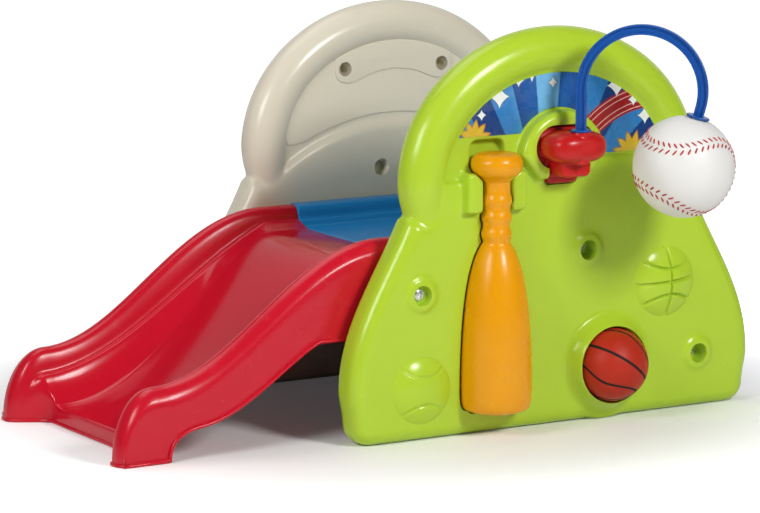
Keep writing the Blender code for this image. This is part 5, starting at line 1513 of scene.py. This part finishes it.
class Graph:
    """A short way to write a node tree: each call adds a node, wires its inputs and gives its output."""

    def __init__(self, tree):
        self.tree = tree

    def add(self, kind, **settings):
        node = self.tree.nodes.new(kind)
        for key, value in settings.items():
            setattr(node, key, value)
        return node

    def wire(self, value, socket):
        if isinstance(value, bpy.types.NodeSocket):
            self.tree.links.new(value, socket)
        elif socket.type == "RGBA":
            socket.default_value = (*value, 1.0)
        else:
            socket.default_value = value

    def math(self, operation, a, b=0.0, c=0.0):
        node = self.add("ShaderNodeMath", operation=operation)
        for socket, value in zip(node.inputs, (a, b, c)):
            self.wire(value, socket)
        return node.outputs[0]

    def times(self, a, b):
        return self.math("MULTIPLY", a, b)

    def plus(self, a, b):
        return self.math("ADD", a, b)

    def minus(self, a, b):
        return self.math("SUBTRACT", a, b)

    def apart(self, a, b):
        """How far two values lie apart."""
        return self.math("ABSOLUTE", self.minus(a, b))

    def length(self, a, b):
        """The length of a line that runs a along one axis and b along the other."""
        return self.math("SQRT", self.plus(self.times(a, a), self.times(b, b)))

    def vector(self, operation, a, b=(0.0, 0.0, 0.0)):
        node = self.add("ShaderNodeVectorMath", operation=operation)
        self.wire(a, node.inputs[0])
        self.wire(b, node.inputs[1])
        return node.outputs

    def ramp(self, value, low, high, start=0.0, end=1.0):
        """Runs smoothly from start to end while the value goes from low to high."""
        node = self.add("ShaderNodeMapRange", interpolation_type="SMOOTHSTEP")
        for socket, item in zip(node.inputs, (value, low, high, start, end)):
            self.wire(item, socket)
        return node.outputs[0]

    def below(self, value, low, high):
        """A mask that is 1 where the value is below low and 0 where it is above high."""
        return self.ramp(value, low, high, 1.0, 0.0)

    def mix(self, share, a, b):
        node = self.add("ShaderNodeMix", data_type="RGBA")
        self.wire(share, node.inputs["Factor"])
        self.wire(a, node.inputs[6])
        self.wire(b, node.inputs[7])
        return node.outputs[2]

    def noise(self, vector, scale, detail=3.0):
        node = self.add("ShaderNodeTexNoise")
        self.wire(vector, node.inputs["Vector"])
        self.wire(scale, node.inputs["Scale"])
        self.wire(detail, node.inputs["Detail"])
        return node.outputs["Fac"]

    def place(self):
        """Coordinates in the set's own frame."""
        coordinates = self.add("ShaderNodeTexCoord").outputs["Object"]
        return self.vector("SUBTRACT", coordinates, SHIFT)[0]

    def split(self, vector):
        node = self.add("ShaderNodeSeparateXYZ")
        self.wire(vector, node.inputs[0])
        return node.outputs

    def bump(self, height, strength, distance):
        node = self.add("ShaderNodeBump")
        self.wire(height, node.inputs["Height"])
        self.wire(strength, node.inputs["Strength"])
        self.wire(distance, node.inputs["Distance"])
        return node.outputs["Normal"]

    def dress(self, shader, color, roughness, normal):
        self.wire(color, shader.inputs["Base Color"])
        self.wire(roughness, shader.inputs["Roughness"])
        self.wire(normal, shader.inputs["Normal"])


def new_group(name, inputs, outputs):
    """An empty node group. Each socket is a name and what it carries."""
    tree = bpy.data.node_groups.new(name, "ShaderNodeTree")
    for way, sockets in (("INPUT", inputs), ("OUTPUT", outputs)):
        for label, kind in sockets.items():
            tree.interface.new_socket(name=label, in_out=way, socket_type="NodeSocket" + kind)
    graph = Graph(tree)
    return graph, graph.add("NodeGroupInput").outputs, graph.add("NodeGroupOutput").inputs


def moulded_skin_group():
    """Moulded polyethylene: a faintly cloudy colour, a dimpled skin, and light rubbing in play."""
    graph, given, made = new_group(
        "moulded_skin",
        {"Color": "Color", "Rubbed Color": "Color", "Roughness": "Float"},
        {"Color": "Color", "Roughness": "Float", "Height": "Float"},
    )
    place = graph.place()
    cloud = graph.noise(place, 7.0, 2.0)
    rub = graph.ramp(graph.noise(place, 38.0, 6.0), 0.56, 0.76)
    stretched = graph.add("ShaderNodeMapping")
    graph.wire(place, stretched.inputs["Vector"])
    stretched.inputs["Rotation"].default_value = (0.5, 0.3, 0.7)
    stretched.inputs["Scale"].default_value = (1.0, 14.0, 3.0)
    scratches = graph.ramp(graph.noise(stretched.outputs["Vector"], 55.0), 0.66, 0.74)
    tint = graph.mix(graph.times(cloud, 0.22), given["Color"], given["Rubbed Color"])
    graph.wire(graph.mix(graph.times(rub, 0.10), tint, given["Rubbed Color"]), made["Color"])
    worn = graph.plus(graph.times(rub, 0.06), graph.times(scratches, 0.05))
    worn = graph.plus(worn, graph.times(cloud, 0.05))
    graph.wire(graph.plus(given["Roughness"], worn), made["Roughness"])
    peel = graph.times(graph.noise(place, 420.0, 2.0), 0.6)
    dimples = graph.plus(peel, graph.times(graph.noise(place, 90.0), 0.8))
    graph.wire(graph.minus(dimples, graph.times(scratches, 0.25)), made["Height"])
    return graph.tree


def ball_seams_group():
    """How near a point is to the lines of a basketball: two great circles and two bowed loops."""
    graph, given, made = new_group(
        "ball_seams",
        {"Direction": "Vector", "Width": "Float"},
        {"Groove": "Float"},
    )
    x, y, z = graph.split(given["Direction"])[:3]
    flat = graph.math("MAXIMUM", graph.length(x, y), 0.001)
    share = graph.math("DIVIDE", graph.times(x, x), graph.times(flat, flat))
    latitude = graph.math("ABSOLUTE", graph.math("ARCTAN2", z, flat))
    bow = graph.plus(graph.times(share, math.radians(25)), math.radians(24))
    nearest = graph.math("MINIMUM", graph.math("ABSOLUTE", z), graph.math("ABSOLUTE", x))
    nearest = graph.math("MINIMUM", nearest, graph.apart(latitude, bow))
    graph.wire(graph.below(nearest, graph.times(given["Width"], 0.6), given["Width"]), made["Groove"])
    return graph.tree


def new_material(name):
    material = bpy.data.materials.new(name)
    material.use_nodes = True
    return material, Graph(material.node_tree), material.node_tree.nodes["Principled BSDF"]


def moulded(name, skin, plastic, strength=0.12, parting_y=None, polished=None):
    """A moulded plastic, with a fine parting line and a glossier middle where these are given."""
    material, graph, shader = new_material(name)
    group = graph.add("ShaderNodeGroup", node_tree=skin)
    for label, value in zip(("Color", "Rubbed Color", "Roughness"), plastic):
        graph.wire(value, group.inputs[label])
    height = group.outputs["Height"]
    if parting_y is not None:
        off = graph.apart(graph.split(graph.place())[1], parting_y)
        height = graph.plus(height, graph.ramp(off, 0.0002, 0.0010, 1.6, 0.0))
    dull = group.outputs["Roughness"]
    if polished:
        off = graph.math("ABSOLUTE", graph.split(graph.place())[1])
        dull = graph.plus(dull, graph.ramp(off, *polished, -0.10, 0.0))
    graph.dress(shader, group.outputs["Color"], dull, graph.bump(height, strength, 0.0004))
    shader.inputs["Specular IOR Level"].default_value = 0.36
    return material


def basketball_turn():
    """Turns the ball's own lines to how it lies in its pocket."""
    view = (CAMERA_PLACE - Vector(BASKETBALL_PLACE)).normalized()
    right = Vector((0.0, 0.0, 1.0)).cross(view).normalized()
    up = view.cross(right)
    facing = Matrix((right, up, view)).transposed()
    # The ball's X faces the viewer and its Z points up, rolled and tilted as it lies
    own = Matrix(((0, 0, 1), (1, 0, 0), (0, 1, 0))).transposed()
    roll = Matrix.Rotation(math.radians(BASKETBALL_ROLL), 3, "Z")
    tilt = Matrix.Rotation(math.radians(BASKETBALL_TILT), 3, "X")
    return facing @ roll @ tilt @ own


def foam_finish(seams):
    """Pebbled foam skin with dark lines pressed into it, and painted shade darkening the gaps between the
    pebbles.
    """
    material, graph, shader = new_material("foam_orange_finish")
    place = graph.place()
    turn = graph.add("ShaderNodeVectorRotate", rotation_type="EULER_XYZ", invert=True)
    graph.wire(graph.vector("SUBTRACT", place, BASKETBALL_PLACE)[0], turn.inputs["Vector"])
    turn.inputs["Rotation"].default_value = basketball_turn().to_euler()
    group = graph.add("ShaderNodeGroup", node_tree=seams)
    graph.wire(graph.vector("NORMALIZE", turn.outputs[0])[0], group.inputs["Direction"])
    group.inputs["Width"].default_value = 0.048
    groove = group.outputs["Groove"]
    pebbles = graph.add("ShaderNodeTexVoronoi", feature="SMOOTH_F1")
    graph.wire(place, pebbles.inputs["Vector"])
    pebbles.inputs["Scale"].default_value = 620.0
    pebble = pebbles.outputs["Distance"]
    tone = graph.mix(graph.noise(place, 24.0), (0.50, 0.030, 0.012), (0.42, 0.022, 0.008))
    # Painted shade: the recessed gaps between the pebbles are mixed towards a darker red.
    tone = graph.mix(graph.ramp(pebble, 0.3, 0.9, 0.0, 0.35), tone, (0.20, 0.012, 0.006))
    color = graph.mix(groove, tone, (0.012, 0.010, 0.010))
    height = graph.minus(graph.times(pebble, -0.35), graph.times(groove, 1.5))
    roughness = graph.math("MULTIPLY_ADD", groove, 0.2, 0.45)
    graph.dress(shader, color, roughness, graph.bump(height, 0.55, 0.0007))
    shader.inputs["Specular IOR Level"].default_value = 0.22
    return material


def thread_finish():
    material, graph, shader = new_material("red_thread_finish")
    place = graph.place()
    color = graph.mix(graph.noise(place, 300.0), (0.36, 0.025, 0.02), (0.50, 0.05, 0.035))
    roughness = graph.ramp(graph.noise(place, 150.0), 0.3, 0.7, 0.45, 0.6)
    graph.dress(shader, color, roughness, graph.bump(graph.noise(place, 900.0), 0.3, 0.0003))
    return material


def zinc_finish():
    material, graph, shader = new_material("zinc_steel_finish")
    place = graph.place()
    color = graph.mix(graph.noise(place, 180.0), (0.66, 0.67, 0.68), (0.80, 0.80, 0.79))
    roughness = graph.ramp(graph.noise(place, 260.0), 0.3, 0.7, 0.16, 0.32)
    graph.dress(shader, color, roughness, graph.bump(graph.noise(place, 700.0), 0.15, 0.0002))
    shader.inputs["Metallic"].default_value = 0.75
    return material


def add_beams(graph, x, z):
    """Beams of dark and pale blue that spread from below the sheet."""
    start_x, start_z = BEAMS_START
    angle = graph.math("ARCTAN2", graph.minus(z, start_z), graph.minus(x, start_x))
    beam = graph.ramp(graph.math("SINE", graph.times(angle, BEAM_COUNT)), -0.08, 0.08)
    slow = graph.ramp(graph.math("SINE", graph.times(angle, 5.0)), -0.2, 0.9)
    return graph.mix(beam, graph.mix(slow, *DARK_BEAM), graph.mix(slow, *PALE_BEAM))


def add_road(graph, x, z, color):
    """A curved red band with pale lines along it."""
    centre_x, centre_z, radius, half_width = ROAD
    distance = graph.length(graph.minus(x, centre_x), graph.minus(z, centre_z))
    off = graph.apart(distance, radius)
    color = graph.mix(graph.below(off, half_width - 0.0005, half_width + 0.0005), color, ROAD_RED)
    for offset in ROAD_LINES:
        color = graph.mix(graph.below(graph.apart(off, offset), 0.0005, 0.0010), color, LINE_PINK)
    return color


def add_sun(graph, x, z, color, centre_x, centre_z, radius, rays):
    dx, dz = graph.minus(x, centre_x), graph.minus(z, centre_z)
    turn = graph.times(graph.math("ARCTAN2", dz, dx), rays / math.tau)
    ray = graph.math("PINGPONG", turn, 0.5)
    edge = graph.math("MULTIPLY_ADD", ray, radius * 0.75, radius * 0.62)
    gap = graph.minus(graph.length(dx, dz), edge)
    color = graph.mix(graph.below(gap, 0.0005, 0.0015), color, SUN_EDGE)
    return graph.mix(graph.below(gap, -0.0030, -0.0020), color, SUN_YELLOW)


def add_sparkle(graph, x, z, color, centre_x, centre_z, radius):
    """A white four-pointed sparkle with a dark edge."""
    pairs = ((x, centre_x), (z, centre_z))
    arms = [graph.math("POWER", graph.apart(*pair), SPARKLE_POWER) for pair in pairs]
    reach = graph.math("POWER", graph.plus(*arms), 1 / SPARKLE_POWER)
    gap = graph.minus(reach, SPARKLE_REACH * radius)
    color = graph.mix(graph.below(gap, 0.0010, 0.0016), color, SPARKLE_EDGE)
    return graph.mix(graph.below(gap, -0.0004, 0.0002), color, SPARKLE_WHITE)


def print_finish():
    """The printed sheet: blue beams, a red road, yellow suns in the corners and white sparkles."""
    material, graph, shader = new_material("printed_sheet_finish")
    place = graph.place()
    x, _, z = graph.split(place)[:3]
    color = add_road(graph, x, z, add_beams(graph, x, z))
    for sun in SUNS:
        color = add_sun(graph, x, z, color, *sun)
    for sparkle in SPARKLES:
        color = add_sparkle(graph, x, z, color, *sparkle)
    roughness = graph.ramp(graph.noise(place, 60.0), 0.3, 0.7, 0.24, 0.34)
    graph.dress(shader, color, roughness, graph.bump(graph.noise(place, 500.0), 0.05, 0.0002))
    return material


def make_finishes():
    skin = moulded_skin_group()
    return {
        "green": moulded("green_finish", skin, GREEN_PLASTIC, parting_y=-MIDDLE_Y),
        "tan": moulded("tan_finish", skin, TAN_PLASTIC, parting_y=MIDDLE_Y),
        "red": moulded("slide_red_finish", skin, SLIDE_RED, polished=(0.15, 0.18)),
        "blue": moulded("deck_blue_finish", skin, DECK_BLUE),
        "rod": moulded("rod_blue_finish", skin, ROD_BLUE),
        "mount": moulded("mount_red_finish", skin, MOUNT_RED),
        "yellow": moulded("bat_yellow_finish", skin, BAT_YELLOW, parting_y=BAT_Y),
        "white": moulded("ball_white_finish", skin, BALL_WHITE, strength=0.2),
        "foam": foam_finish(ball_seams_group()),
        "thread": thread_finish(),
        "zinc": zinc_finish(),
        "print": print_finish(),
    }


# Studio


def make_floor():
    """A pale floor that the camera sees fade to white away from the set."""
    solid = bmesh.new()
    bmesh.ops.create_grid(solid, x_segments=1, y_segments=1, size=FLOOR_SIZE)
    mesh = as_mesh("floor", solid)
    material, graph, shader = new_material("floor_finish")
    graph.wire((0.93, 0.93, 0.93), shader.inputs["Base Color"])
    graph.wire(0.75, shader.inputs["Roughness"])
    graph.wire((1.0, 1.0, 1.0), shader.inputs["Emission Color"])
    away = graph.vector("DISTANCE", graph.place(), STUDIO_CENTRE)["Value"]
    fading = graph.ramp(away, FLOOR_SHADE_REACH, FLOOR_WHITE_REACH, 0.04, 0.95)
    seen = graph.add("ShaderNodeLightPath").outputs["Is Camera Ray"]
    graph.wire(graph.times(seen, fading), shader.inputs["Emission Strength"])
    mesh.materials.append(material)
    on_bench("floor", mesh)


def make_world():
    """White where it is seen, dim as a light, and mirrored as a dark room with a pale wall ahead."""
    world = bpy.data.worlds.new("studio")
    bpy.context.scene.world = world
    world.use_nodes = True
    graph = Graph(world.node_tree)
    background = world.node_tree.nodes["Background"]
    path = graph.add("ShaderNodeLightPath").outputs
    seen = graph.math("MAXIMUM", path["Is Camera Ray"], path["Is Transmission Ray"])
    direction = graph.add("ShaderNodeTexCoord").outputs["Generated"]
    ahead = graph.vector("DOT_PRODUCT", direction, (CAMERA_TARGET - CAMERA_PLACE).normalized())["Value"]
    off = graph.minus(graph.ramp(ahead, 0.2, 0.9, DARK_MIRRORED, PALE_MIRRORED), WORLD_LIGHT)
    lit = graph.math("MULTIPLY_ADD", path["Is Glossy Ray"], off, WORLD_LIGHT)
    graph.wire((1.0, 1.0, 1.0), background.inputs["Color"])
    graph.wire(graph.math("MAXIMUM", seen, lit), background.inputs["Strength"])


def add_softbox(name, direction, distance, size, power):
    light = bpy.data.lights.new(name, "AREA")
    light.shape = "RECTANGLE"
    light.size, light.size_y = size
    light.energy = power
    away = Vector(direction).normalized()
    place = Matrix.Translation(STUDIO_CENTRE + SHIFT + distance * away)
    on_bench(name, light, place @ away.to_track_quat("Z", "Y").to_matrix().to_4x4())


def make_studio():
    make_floor()
    make_world()
    for name, softbox in SOFTBOXES.items():
        add_softbox(name, *softbox)
    camera = bpy.data.objects.new("camera", bpy.data.cameras.new("camera"))
    camera.data.sensor_width = 36.0
    camera.data.lens = CAMERA_LENS
    camera.data.clip_end = 60.0
    camera.location = CAMERA_PLACE + SHIFT
    camera.rotation_euler = (CAMERA_TARGET - CAMERA_PLACE).to_track_quat("-Z", "Y").to_euler()
    bpy.context.scene.collection.objects.link(camera)
    bpy.context.scene.camera = camera
    bpy.context.scene.view_settings.view_transform = "Standard"


def main():
    finishes = make_finishes()
    make_green_panel(finishes["green"])
    make_domes(finishes["green"])
    make_tan_panel(finishes["tan"])
    make_web_pads(finishes["tan"])
    make_slide(finishes["red"])
    make_deck(finishes["blue"])
    make_sheet(finishes["print"])
    make_mount(finishes["mount"])
    make_rod(finishes["rod"])
    make_swing_ball(finishes["white"], finishes["thread"])
    make_bat(finishes["yellow"])
    make_basketball(finishes["foam"])
    make_screws(finishes["zinc"])
    for node in ("pivot_washer", "pivot_screw"):
        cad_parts[node].material_slots[0].material = finishes["zinc"]
    make_studio()


main()
